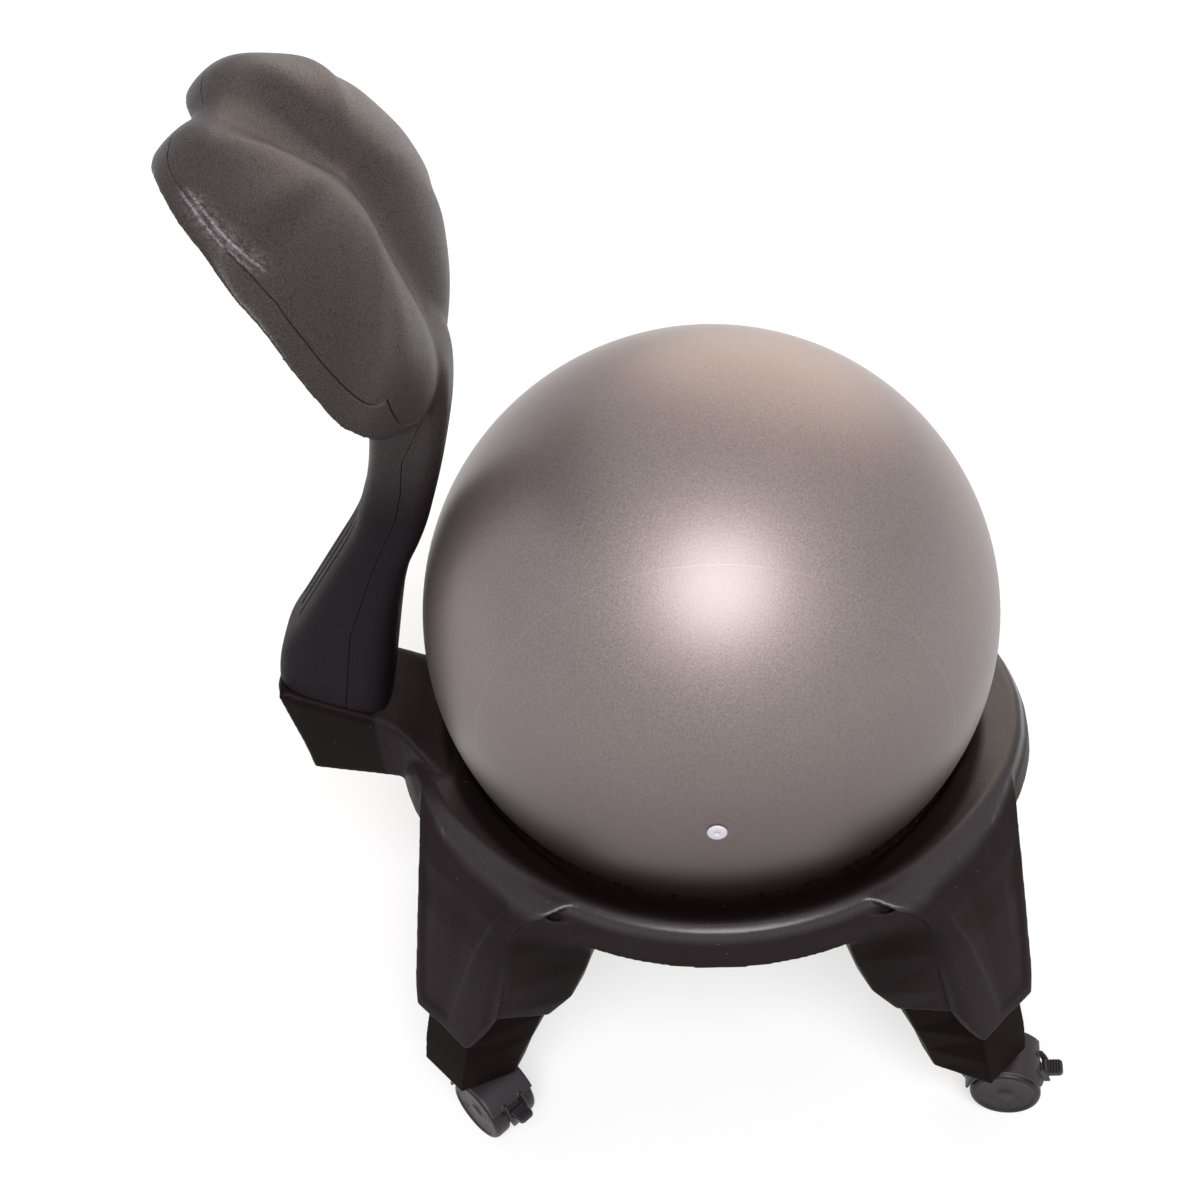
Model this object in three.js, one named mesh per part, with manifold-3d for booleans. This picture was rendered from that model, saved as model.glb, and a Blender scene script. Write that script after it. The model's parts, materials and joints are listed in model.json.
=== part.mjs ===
// A balance ball chair: an exercise ball held in the ring of a moulded base with four splayed
// legs, leg extensions on braked twin-wheel casters, and a reclined two-lobed back on a hollow stem.
// Millimetres, +Z up, floor at z = 0, origin on the floor below the ball's centre, front towards -Y.
import * as THREE from "three";
import { mergeVertices } from "three/addons/utils/BufferGeometryUtils.js";
import Module from "manifold-3d";

const wasm = await Module();
wasm.setup();

const { PI, sin, cos, sqrt, asin, abs, max, min } = Math;
const QUARTER = PI / 2;
const radians = (degrees) => (degrees * PI) / 180;

// Shared clearances, and the overrun that every cut uses.
const seatGap = 0.3;
const runningGap = 0.35;
const cutOverrun = 2;

// The exercise ball and its valve.
const ball = { radius: 260, wall: 1.6 };
const valve = { holeRadius: 4.6, bossRadius: 14, bossHeight: 3.4, headRadius: 8.2, headHeight: 2.4 };
const plug = { stemRadius: 4.1, stemLength: 17, dimpleRadius: 1.6, dimpleDepth: 3.2, headRound: 1 };

// The ring of the base: distances out from the ball's seat, and heights above the floor.
const ring = {
  seatShare: 0.86823,
  seatZ: 286.85,
  shelf: 22,
  crest: 36,
  ridge: 43,
  lip: 50,
  apron: 55,
  shelfZ: 296,
  crestZ: 298.5,
  ridgeZ: 295,
  lipZ: 281,
  apronZ: 260,
  innerZ: 254,
  frontGrow: 25,
  wall: 4,
};
const ribs = { perSpan: 3, thickness: 3, below: 2.85, depth: 26, spread: 0.19 };

// The legs: half-widths across, distances out along the diagonal, and heights.
const leg = {
  shoulder: 44,
  splay: 93.5,
  skirtBottomZ: 146,
  skirtTopZ: 296.5,
  footHalf: 36.8,
  cheekHalf: 51,
  cheekDepth: 17,
  wall: 4,
  coreBottomZ: 165,
  coreTopZ: 284,
  coreSetback: 21.5,
  coreDepth: 106,
  coreHalf: 106,
  coreWall: 4,
};
const recess = { depth: 2.2, topZ: 291, bottomZ: 158, margin: 12 };
const extension = {
  footZ: 76,
  reach: 31,
  depth: 103,
  half: 68,
  wall: 4,
  floor: 6,
  spigot: 30,
  spigotGap: 1.2,
  spigotWall: 3,
};
const socket = { radius: 9.5, bore: 5.85, length: 40, flangeRadius: 15, flange: 1.5, bossWall: 3.5 };
const legScrew = { radius: 2.3, length: 18, headRadius: 4.6, headHeight: 3, height: 12 };

// The tail that carries the back: distances along Y from the seat and from its lip, and heights.
const tail = {
  start: 10,
  lip: 79,
  length: 96.5,
  lipZ: 339,
  deckEndZ: 384,
  frontZ: 292.5,
  neckHalf: 108,
  halfWidth: 54.5,
  bottomBefore: 24,
  bottomStartZ: 257,
  bottomAfter: 76,
  bottomEndZ: 278,
  wall: 4.5,
  lipRound: 9,
  flank: 1.5,
};
const cover = {
  thickness: 3,
  recess: 4,
  fromLip: 7,
  length: 54,
  sideGap: 0.6,
  screwRadius: 1.7,
  screwLength: 12,
  headRadius: 3.6,
  headHeight: 2.2,
  bossRadius: 4.4,
  screwInset: 9,
};

// The back: a stem and a two-lobed pad, moulded as a front and a rear shell.
const stem = { baseDrop: 14, height: 420, frontReach: 107, backReach: 99, half: 50, wall: 4, floor: 5 };
const pad = {
  halfWidth: 213,
  bottomUp: 166.6,
  height: 289,
  lowOut: 298,
  middleOut: 372,
  bow: 75,
  crown: 52,
  rearCrown: 6,
  valleyWidth: 38,
  wall: 4,
  seamForward: 12,
};
const flute = { radius: 2.6, spacing: 15, depth: 1.5 };
const bolt = { radius: 3.7, length: 24, headRadius: 7.2, headHeight: 4.5 };
const boltPattern = { across: 52, along: 44, fromLip: 44 };
const nutPlate = { thickness: 6, across: 76, along: 66 };
const shellScrew = {
  radius: 2.1,
  length: 22,
  headRadius: 4.4,
  headHeight: 2.8,
  pocket: 5,
  rearBoss: 8,
  frontBoss: 7,
  bossDepth: 11,
  bossBite: 1,
};

// The casters.
const caster = {
  inset: 34,
  wheelRadius: 32.5,
  wheelWidth: 18,
  webWidth: 13,
  webBite: 1,
  trail: 28,
  hoodGap: 2.4,
  hoodWall: 3,
  neckRadius: 12.5,
  collar: 1.3,
  neckRound: 1.2,
  neckGap: 0.8,
  stemRadius: 5.5,
  stemSeat: 17.2,
  stemReach: 35,
  axleRadius: 4,
  hubRadius: 9,
  dish: 3.5,
  edgeRound: 3,
};
const brake = {
  width: 16,
  reach: 16,
  thickness: 5.4,
  barrelRadius: 3,
  pinRadius: 1.6,
  earWidth: 2.6,
  offHood: 4.2,
  ribs: 4,
  ribWidth: 1.2,
  ribDepth: 0.9,
};

// Places that several pieces share, worked out from the sizes above.
const seatReach = ring.seatShare * (ball.radius + seatGap);
const ballCentreZ = ring.seatZ + sqrt((ball.radius + seatGap) ** 2 - seatReach ** 2);
const shoulderOut = seatReach + leg.shoulder;
const footOut = shoulderOut + leg.splay;
const coreOut = footOut - leg.coreSetback;
const extensionOut = coreOut + extension.reach;
const pivotReach = extensionOut - caster.inset;
const tailStartY = seatReach + tail.start;
const lipY = seatReach + tail.lip;
const tailEndY = lipY + tail.length;
const bottomEndY = lipY + tail.bottomAfter;
const boltMiddleY = lipY + boltPattern.fromLip;

const materials = {
  ballSkin: new THREE.MeshStandardMaterial({ color: 0x8f8580, roughness: 0.38, metalness: 0.35 }),
  valveWhite: new THREE.MeshStandardMaterial({ color: 0xd8d4dc, roughness: 0.5 }),
  framePlastic: new THREE.MeshStandardMaterial({ color: 0x2b2829, roughness: 0.62 }),
  legPlastic: new THREE.MeshStandardMaterial({ color: 0x231e1f, roughness: 0.7 }),
  backPlastic: new THREE.MeshStandardMaterial({ color: 0x3a3433, roughness: 0.55 }),
  casterPlastic: new THREE.MeshStandardMaterial({ color: 0x1e1c1d, roughness: 0.5 }),
  tread: new THREE.MeshStandardMaterial({ color: 0x2a2828, roughness: 0.8 }),
  steel: new THREE.MeshStandardMaterial({ color: 0x9b9da0, roughness: 0.35, metalness: 0.9 }),
};

// Solids and booleans
function solid(geometry) {
  const bare = geometry.index ? geometry.toNonIndexed() : geometry.clone();
  bare.deleteAttribute("normal");
  bare.deleteAttribute("uv");
  const merged = mergeVertices(bare, 1e-4);
  const make = (triVerts) =>
    new wasm.Manifold(
      new wasm.Mesh({ numProp: 3, vertProperties: merged.attributes.position.array, triVerts }),
    );
  return make(new Uint32Array(merged.index.array));
}

function geometryOf(body) {
  const mesh = body.getMesh();
  const positions = new Float32Array(mesh.numVert * 3);
  for (let i = 0; i < mesh.numVert; i++) {
    positions.set(mesh.vertProperties.subarray(i * mesh.numProp, i * mesh.numProp + 3), i * 3);
  }
  return new THREE.BufferGeometry()
    .setAttribute("position", new THREE.BufferAttribute(positions, 3))
    .setIndex(new THREE.BufferAttribute(mesh.triVerts, 1));
}

const union = (bodies) => bodies.reduce((all, body) => all.add(body));
const moved = (geometry, x, y, z) => geometry.translate(x, y, z);

// A closed skin through rings of points, all of one length. Capped at both ends unless it closes on itself.
function skin(rings, closesOnItself = false) {
  const count = rings[0].length;
  const positions = rings.flat().flatMap((p) => [p.x, p.y, p.z]);
  const index = [];
  const last = closesOnItself ? rings.length : rings.length - 1;
  for (let i = 0; i < last; i++) {
    const below = i * count;
    const above = ((i + 1) % rings.length) * count;
    for (let j = 0; j < count; j++) {
      const next = (j + 1) % count;
      index.push(below + j, below + next, above + next, below + j, above + next, above + j);
    }
  }
  if (!closesOnItself) {
    const cap = (ringOfPoints, start, facesUp) => {
      const middle = ringOfPoints
        .reduce((sum, p) => sum.add(p), new THREE.Vector3())
        .divideScalar(count);
      const hub = positions.length / 3;
      positions.push(middle.x, middle.y, middle.z);
      for (let j = 0; j < count; j++) {
        const next = (j + 1) % count;
        if (facesUp) index.push(start + j, start + next, hub);
        else index.push(start + next, start + j, hub);
      }
    };
    cap(rings[0], 0, false);
    cap(rings.at(-1), (rings.length - 1) * count, true);
  }
  const geometry = new THREE.BufferGeometry();
  geometry.setAttribute("position", new THREE.Float32BufferAttribute(positions, 3));
  geometry.setIndex(index);
  return facingOut(geometry);
}

// The same skin with its faces turned round if its volume comes out negative.
function facingOut(geometry) {
  const points = geometry.attributes.position;
  const index = geometry.index.array;
  const [a, b, c] = [new THREE.Vector3(), new THREE.Vector3(), new THREE.Vector3()];
  let volume = 0;
  for (let i = 0; i < index.length; i += 3) {
    a.fromBufferAttribute(points, index[i]);
    b.fromBufferAttribute(points, index[i + 1]);
    c.fromBufferAttribute(points, index[i + 2]);
    volume += a.dot(b.cross(c));
  }
  if (volume < 0) {
    for (let i = 0; i < index.length; i += 3) {
      [index[i + 1], index[i + 2]] = [index[i + 2], index[i + 1]];
    }
  }
  return geometry;
}

// A profile of [radius, height] points turned about the Z axis.
function turned(profile, segments) {
  const points = profile.map(([radius, height]) => new THREE.Vector2(radius, height));
  return new THREE.LatheGeometry(points, segments).rotateX(QUARTER);
}

// A cylinder along Z that stands on z = 0.
function rod(radius, height, segments = 16) {
  return moved(new THREE.CylinderGeometry(radius, radius, height, segments).rotateX(QUARTER), 0, 0, height / 2);
}

// A flat outline of [x, y] points drawn up along Z.
function plate(outline, height) {
  const shape = new THREE.Shape(outline.map(([x, y]) => new THREE.Vector2(x, y)));
  return new THREE.ExtrudeGeometry(shape, { depth: height, bevelEnabled: false });
}

// The value at a place in a table of [place, value, value...] rows, straight between its rows.
function between(rows, place) {
  const upper = rows.findIndex((row) => row[0] >= place);
  if (upper === 0) return rows[0].slice(1);
  if (upper < 0) return rows.at(-1).slice(1);
  const [low, high] = [rows[upper - 1], rows[upper]];
  const share = (place - low[0]) / (high[0] - low[0]);
  return low.slice(1).map((value, i) => value + (high[i + 1] - value) * share);
}

const chair = new THREE.Group();

function add(name, body, material, parent = chair) {
  const geometry = body.isBufferGeometry ? body : geometryOf(body);
  const mesh = new THREE.Mesh(geometry, material);
  mesh.name = name;
  parent.add(mesh);
  return mesh;
}

// The ball: a thin skin with a thicker boss round the valve hole, its axis along -X
const ballRows = 12;
const ballSegments = 24;

function ballSkin() {
  const { radius, wall } = ball;
  const arc = (r, from, to, rows) =>
    Array.from({ length: rows + 1 }, (_, i) => {
      const angle = from + ((to - from) * i) / rows;
      return [r * sin(angle), r * cos(angle)];
    });
  const holeAngle = asin(valve.holeRadius / radius);
  const bossAngle = asin(valve.bossRadius / radius);
  const outer = [...arc(radius, PI, bossAngle, ballRows), [valve.holeRadius, radius * cos(holeAngle)]];
  const inner = arc(radius - wall, bossAngle, PI, ballRows);
  const bossFloor = radius - wall - valve.bossHeight;
  outer[0][0] = 0;
  inner.at(-1)[0] = 0;
  const boss = [
    [valve.holeRadius, bossFloor],
    [valve.bossRadius - valve.bossHeight, bossFloor],
  ];
  return turned([...outer, ...boss, ...inner], ballSegments);
}

function valvePlug() {
  const floor = plug.dimpleDepth;
  const top = valve.headHeight;
  return turned(
    [
      [0, -plug.stemLength],
      [plug.stemRadius - plug.headRound, -plug.stemLength],
      [plug.stemRadius, -plug.stemLength + plug.headRound],
      [plug.stemRadius, 0],
      [valve.headRadius, 0],
      [valve.headRadius, top - plug.headRound],
      [valve.headRadius - plug.headRound, top],
      [plug.dimpleRadius, top],
      [plug.dimpleRadius, top - floor],
      [0, top - floor],
    ],
    16,
  );
}

const ballCarrier = new THREE.Group();
ballCarrier.position.z = ballCentreZ;
ballCarrier.rotation.y = -QUARTER;
chair.add(ballCarrier);
add("ball", ballSkin(), materials.ballSkin, ballCarrier);
const plugMesh = add("valve_plug", valvePlug(), materials.valveWhite, ballCarrier);
plugMesh.position.z = ball.radius + seatGap;

// A rod from one point to another.
function strut(from, to, radius, segments = 8) {
  const way = new THREE.Vector3().subVectors(to, from);
  const geometry = new THREE.CylinderGeometry(radius, radius, way.length(), segments);
  const turn = new THREE.Quaternion().setFromUnitVectors(new THREE.Vector3(0, 1, 0), way.clone().normalize());
  return geometry.applyQuaternion(turn).translate(...from.clone().addScaledVector(way, 0.5).toArray());
}

// A screw with its head's seat at the origin and its shank down along -Z.
function screw(radius, length, headRadius, headHeight) {
  return turned(
    [
      [0, -length],
      [radius, -length],
      [radius, 0],
      [headRadius, 0],
      [headRadius, 0.6 * headHeight],
      [0.7 * headRadius, headHeight],
      [0, headHeight],
    ],
    6,
  );
}

// How far the ring's outside grows towards the chair's front and its tail.
const grownBy = (angle) => ring.frontGrow * sin(angle) ** 6;

// The shares of the wall by which the ring's cavity is drawn in at its seat, crest and ridge.
const cavityShares = { seatDown: 0.9, crestIn: 0.2, ridgeIn: 0.6, ridgeDown: 0.7 };

// The ring's section at an angle, drawn in by an inset, as [radius, height] points
function ringSection(angle, inset) {
  const outside = seatReach + grownBy(angle);
  const floorZ = inset ? ring.innerZ - cutOverrun : ring.innerZ;
  const apronZ = inset ? floorZ : ring.apronZ;
  return [
    [seatReach + inset, floorZ],
    [seatReach + inset, ring.seatZ - inset * cavityShares.seatDown],
    [seatReach + ring.shelf, ring.shelfZ - inset],
    [outside + ring.crest - inset * cavityShares.crestIn, ring.crestZ - inset],
    [outside + ring.ridge - inset * cavityShares.ridgeIn, ring.ridgeZ - inset * cavityShares.ridgeDown],
    [outside + ring.lip - inset, ring.lipZ],
    [outside + ring.apron - inset, apronZ],
  ];
}

const ringSteps = 40;

function ringBody(inset) {
  const rings = Array.from({ length: ringSteps }, (_, i) => {
    const angle = (2 * PI * i) / ringSteps;
    return ringSection(angle, inset).map(
      ([radius, z]) => new THREE.Vector3(radius * cos(angle), radius * sin(angle), z),
    );
  });
  return solid(skin(rings, true));
}

// The legs stand on the diagonals. Sideways is the sign of the way across that leads to the chair's side.
const legs = [
  { name: "rear_right", angle: radians(45), sideways: -1, trailAngle: radians(70) },
  { name: "rear_left", angle: radians(135), sideways: 1, trailAngle: radians(225) },
  { name: "front_left", angle: radians(225), sideways: -1, trailAngle: radians(262) },
  { name: "front_right", angle: radians(315), sideways: 1, trailAngle: radians(300) },
];

// A place at a reach out along a diagonal and a distance across it.
function placed(reach, across, z, angle) {
  return new THREE.Vector3(
    reach * cos(angle) - across * sin(angle),
    reach * sin(angle) + across * cos(angle),
    z,
  );
}

// Heights as shares of the skirt, the reach as shares of the splay, and the half-widths towards the chair's
// side and its end as shares of the cheek's growth over the foot.
const skirtShares = [
  [0, 1, 0, 0],
  [0.093, 0.941, 0.5, 0.5],
  [0.219, 0.861, 1, 0.95],
  [0.425, 0.733, 0.93, 1.6],
  [0.611, 0.604, 0.89, 2.3],
  [0.784, 0.47, 0.74, 3.3],
  [0.857, 0.4, 0.93, 4.1],
  [0.917, 0.3, 1.49, 5.4],
  [0.965, 0.19, 2.3, 7],
  [1, 0.01, 3.04, 8],
];
const faceShares = [0.94, 0.5];
const cheekRoundShare = 0.2;

function skirtRow([heightShare, reachShare, sideShare, endShare]) {
  const grow = leg.cheekHalf - leg.footHalf;
  return {
    z: leg.skirtBottomZ + (leg.skirtTopZ - leg.skirtBottomZ) * heightShare,
    reach: shoulderOut + leg.splay * reachShare,
    side: leg.footHalf + grow * sideShare,
    end: leg.footHalf + grow * endShare,
    sag: (across) => (heightShare * across ** 2) / (2 * shoulderOut),
  };
}

function skirtSection(shares, inset, { angle, sideways }) {
  const { z, reach, side, end, sag } = skirtRow(shares);
  const face = reach - inset;
  const inner = reach - leg.cheekDepth - (inset ? cutOverrun : 0);
  const round = cheekRoundShare * leg.cheekDepth;
  const flank = (half) => [
    [inner, half],
    [face - round, half],
    ...faceShares.map((share) => [face, half * share]),
  ];
  const outline = [
    ...flank(side - inset),
    ...flank(end - inset)
      .map(([r, across]) => [r, -across])
      .reverse(),
  ];
  return outline.map(([r, across]) => placed(r - sag(across), sideways * across, z, angle));
}

function skirtBody(place, inset) {
  const rows = inset ? skirtShares.filter((_, i) => i % 2 === 0) : skirtShares;
  const rings = rows.map((shares) => skirtSection(shares, inset, place));
  if (inset) rings[0].forEach((point) => (point.z -= cutOverrun));
  return solid(skin(rings));
}

// The sunk panel of the skirt: a wedge pointing down, with heights as shares of its own and the edge towards
// the side as shares of the skirt's half-width.
const recessShares = [
  [0, 0.14],
  [0.3, 0.25],
  [0.6, 0.37],
  [0.85, 0.58],
  [1, 0.52],
];
const recessSteps = 4;

function recessBody({ angle, sideways }) {
  const rings = recessShares.map(([heightShare, nearShare]) => {
    const z = recess.bottomZ + (recess.topZ - recess.bottomZ) * heightShare;
    const place = (z - leg.skirtBottomZ) / (leg.skirtTopZ - leg.skirtBottomZ);
    const { reach, side, end, sag } = skirtRow([place, ...between(skirtShares, place)]);
    const kinks = [...faceShares.map((share) => -end * share), ...faceShares.map((share) => side * share).reverse()];
    const face = (across) => reach - between(kinks.map((kink) => [kink, sag(kink)]), across)[0];
    const [near, far] = [side * nearShare, recess.margin - end];
    const floor = Array.from({ length: recessSteps + 1 }, (_, i) => {
      const across = near + ((far - near) * i) / recessSteps;
      return [face(across) - recess.depth, across];
    });
    const outside = [
      [face(far) + leg.cheekDepth, far - recess.depth],
      [face(near) + leg.cheekDepth, near + recess.depth],
    ];
    return [...floor, ...outside].map(([r, across]) => placed(r, sideways * across, z, angle));
  });
  return solid(skin(rings));
}

// Six-sided sections of a leg: a height share, then the outer face, the corner and the inner face, each with
// its depth in from the outer side and its half-width.
const coreShares = [
  [0, 0, 0.324, 0.453, 0.69, 0.717, 0.6],
  [0.227, 0.094, 0.352, 0.604, 0.84, 0.849, 0.75],
  [0.588, 0.245, 0.38, 0.736, 0.94, 0.962, 0.83],
  [1, 0.462, 0.4, 0.858, 1, 1, 0.92],
];
const extensionShares = [
  [0, 0, 0.397, 0.476, 0.691, 0.689, 0.559],
  [0.315, 0.068, 0.426, 0.544, 0.779, 0.767, 0.647],
  [0.654, 0.155, 0.42, 0.641, 0.897, 0.883, 0.765],
  [1, 0.282, 0.41, 0.738, 1, 1, 0.868],
];
const slantShares = { outer: 0.7, inner: 0.5 };

function hexagon(shares, [out, depth, half], z, inset, angle) {
  const [, outer, outerHalf, corner, cornerHalf, inner, innerHalf] = shares;
  const side = [
    [out - depth * outer - inset, half * outerHalf - inset * slantShares.outer],
    [out - depth * corner, half * cornerHalf - inset],
    [out - depth * inner + inset, half * innerHalf - inset * slantShares.inner],
  ];
  const outline = [...side, ...side.map(([r, across]) => [r, -across]).reverse()];
  return outline.map(([r, across]) => placed(r, across, z, angle));
}

const coreZ = (share) => leg.coreBottomZ + (leg.coreTopZ - leg.coreBottomZ) * share;

function coreBody(angle, inset, fromZ = leg.coreBottomZ, toZ = leg.coreTopZ) {
  const kinks = coreShares.map(([share]) => coreZ(share)).filter((z) => z > fromZ && z < toZ);
  const steps = [fromZ, ...kinks, toZ];
  const rings = steps.map((z) => {
    const place = (z - leg.coreBottomZ) / (leg.coreTopZ - leg.coreBottomZ);
    const shares = [place, ...between(coreShares, place)];
    return hexagon(shares, [coreOut, leg.coreDepth, leg.coreHalf], z, inset, angle);
  });
  return solid(skin(rings));
}

// The tail: sections along Y with a rounded top edge, in a plan that flows out into the ring
const deckSlope = (tail.deckEndZ - tail.lipZ) / tail.length;
const deckZ = (y) => tail.lipZ + (y - lipY) * deckSlope;
const bottomSlope = (tail.bottomEndZ - tail.bottomStartZ) / (tail.bottomBefore + tail.bottomAfter);
const bottomZ = (y) => max(ring.innerZ, tail.bottomEndZ + (y - bottomEndY) * bottomSlope);

// Shares of the way from the start to the lip, with the rise and the half-width as shares of theirs.
const throatShares = [
  [0, 0, 1],
  [0.2, 0.13, 0.7],
  [0.38, 0.24, 0.46],
  [0.54, 0.42, 0.27],
  [0.7, 0.67, 0.12],
  [0.84, 0.86, 0.04],
  [1, 1, 0],
];
// Shares of the deck's length, with the drop and the narrowing as shares of the lip's rounding.
const deckShares = [
  [0.45, 0, 0],
  [0.84, 0, 0.05],
  [0.92, 0.06, 0.3],
  [0.97, 0.35, 0.85],
  [1, 1, 1.6],
];

const heelShare = 0.12;

function tailSection(y, top, half, inset) {
  const round = tail.lipRound - inset;
  const footY = min(y, bottomEndY + (y - bottomEndY) * heelShare);
  const floorZ = inset && y <= lipY ? ring.innerZ : bottomZ(footY);
  const low = floorZ - (inset ? cutOverrun : 0);
  const [right, up] = [half - inset, top - inset];
  const corner = [0, 0.5, 1].map((share) => {
    const turn = QUARTER * share;
    return [right - round + round * cos(turn), up - round + round * sin(turn)];
  });
  const side = [[right - tail.flank, low], ...corner];
  const outline = [...side, ...side.map(([x, z]) => [-x, z]).reverse()];
  const lean = (z) => footY + (y - footY) * min(1, (z - low) / (up - low));
  return outline.map(([x, z]) => new THREE.Vector3(x, lean(z), z));
}

function tailBody(inset) {
  const throat = throatShares.map(([along, rise, widen]) => [
    tailStartY + (lipY - tailStartY) * along,
    tail.frontZ + (tail.lipZ - tail.frontZ) * rise,
    tail.halfWidth + (tail.neckHalf - tail.halfWidth) * widen,
  ]);
  const deck = deckShares.map(([along, drop, narrow]) => {
    const y = lipY + tail.length * along;
    return [y, deckZ(y) - tail.lipRound * drop, tail.halfWidth - tail.lipRound * narrow];
  });
  const lastY = tailEndY - inset;
  const rows = [...throat, ...deck].filter(([y]) => !inset || y < lastY - tail.flank);
  if (inset) rows.push([lastY, deckZ(lastY) - tail.lipRound * 0.5, tail.halfWidth - tail.lipRound]);
  return solid(skin(rows.map(([y, top, half]) => tailSection(y, top, half, inset))));
}

const deckNormal = new THREE.Vector3(0, -deckSlope, 1).normalize();
const deckPoint = (x, y, above = 0) => new THREE.Vector3(x, y, deckZ(y)).addScaledVector(deckNormal, above);

const boltPlaces = [-1, 1].flatMap((sideways) =>
  [-1, 1].map((along) => [
    (sideways * boltPattern.across) / 2,
    boltMiddleY + (along * boltPattern.along) / 2,
  ]),
);

const bottomNormal = new THREE.Vector3(0, -bottomSlope, 1).normalize();
const coverPoint = (x, y, above = 0) =>
  new THREE.Vector3(x, y, bottomZ(y)).addScaledVector(bottomNormal, cover.recess + above);
const coverStartY = lipY + cover.fromLip;
const coverHalf = tail.halfWidth - tail.flank - tail.wall - cover.sideGap;
const coverScrewPlaces = [-1, 1].flatMap((sideways) =>
  [coverStartY + cover.screwInset, coverStartY + cover.length - cover.screwInset].map((y) => [
    sideways * (coverHalf - cover.screwInset),
    y,
  ]),
);

function ribBodies() {
  return legs.flatMap(({ angle: start }) =>
    Array.from({ length: ribs.perSpan }, (_, i) => {
      const angle = start + QUARTER * (0.5 + (i - (ribs.perSpan - 1) / 2) * ribs.spread);
      const from = seatReach + ring.wall / 2;
      const length = seatReach + ring.lip + grownBy(angle) - ring.wall / 2 - from;
      const rib = new THREE.BoxGeometry(length, ribs.thickness, ribs.depth);
      rib.translate(from + length / 2, 0, ring.seatZ - ribs.below - ribs.depth / 2);
      return solid(rib.rotateZ(angle));
    }),
  );
}

// Places of a leg's screw: on the core's inner face, pointing out through it.
function legScrewPlace(angle) {
  const z = leg.coreBottomZ + legScrew.height;
  const place = (height) => (height - leg.coreBottomZ) / (leg.coreTopZ - leg.coreBottomZ);
  const reachAt = (height) => coreOut - leg.coreDepth * between(coreShares, place(height))[4];
  const slope = (reachAt(z + cutOverrun) - reachAt(z)) / cutOverrun;
  const origin = placed(reachAt(z), 0, z, angle);
  const outward = placed(-1, 0, slope, angle).normalize();
  return { origin, outward };
}

// The base: ring, tail, skirts and leg cores as one moulding of an even wall
function baseFrame() {
  const outer = union([ringBody(0), tailBody(0)]);
  const hollow = union([ringBody(ring.wall), tailBody(tail.wall)]);
  const coverBosses = coverScrewPlaces.map(([x, y]) =>
    solid(strut(coverPoint(x, y, cover.thickness + seatGap), coverPoint(x, y, ring.crestZ), cover.bossRadius)),
  );
  let frame = outer.subtract(hollow).add(union(coverBosses).intersect(tailBody(tail.wall / 2)));
  for (const place of legs) {
    const { angle } = place;
    const skirt = skirtBody(place, 0).subtract(skirtBody(place, leg.wall)).subtract(recessBody(place));
    const hollowCore = coreBody(angle, leg.coreWall, leg.coreBottomZ - cutOverrun, leg.coreTopZ + cutOverrun);
    const core = coreBody(angle, 0).subtract(hollowCore);
    frame = frame.add(skirt).add(core);
  }
  frame = frame.add(union(ribBodies()));
  const holes = [];
  for (const [x, y] of boltPlaces) {
    holes.push(strut(deckPoint(x, y, -2 * tail.wall), deckPoint(x, y, cutOverrun), bolt.radius + seatGap));
  }
  for (const [x, y] of coverScrewPlaces) {
    const deep = cover.screwLength + cutOverrun;
    holes.push(strut(coverPoint(x, y), coverPoint(x, y, deep), cover.screwRadius + seatGap));
  }
  for (const { angle } of legs) {
    const { origin, outward } = legScrewPlace(angle);
    const from = origin.clone().addScaledVector(outward, -2 * leg.coreWall);
    holes.push(strut(from, origin.clone().addScaledVector(outward, cutOverrun), legScrew.radius + seatGap));
  }
  return frame.subtract(union(holes.map(solid)));
}

add("base_frame", baseFrame(), materials.framePlastic);

// The cover under the tail, held by four screws
function tailCover() {
  const endY = coverStartY + cover.length;
  const outline = [
    [-coverHalf, coverStartY],
    [coverHalf, coverStartY],
    [coverHalf, endY],
    [-coverHalf, endY],
  ];
  const corners = outline.map(([x, y]) => coverPoint(x, y));
  const above = outline.map(([x, y]) => coverPoint(x, y, cover.thickness));
  const holes = coverScrewPlaces.map(([x, y]) =>
    solid(strut(coverPoint(x, y, -cutOverrun), coverPoint(x, y, 2 * cover.thickness), cover.screwRadius + seatGap)),
  );
  return solid(skin([corners, above])).subtract(union(holes));
}

// Turns a screw so that its shank points along a direction, and moves its head's seat to a place.
function driven(geometry, seat, direction) {
  const turn = new THREE.Quaternion().setFromUnitVectors(new THREE.Vector3(0, 0, -1), direction);
  return geometry.applyQuaternion(turn).translate(seat.x, seat.y, seat.z);
}

add("tail_cover", tailCover(), materials.legPlastic);
coverScrewPlaces.forEach(([x, y], i) => {
  const body = screw(cover.screwRadius, cover.screwLength, cover.headRadius, cover.headHeight);
  add(`tail_cover_screw_${i + 1}`, driven(body, coverPoint(x, y, -seatGap), bottomNormal), materials.steel);
});

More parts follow.
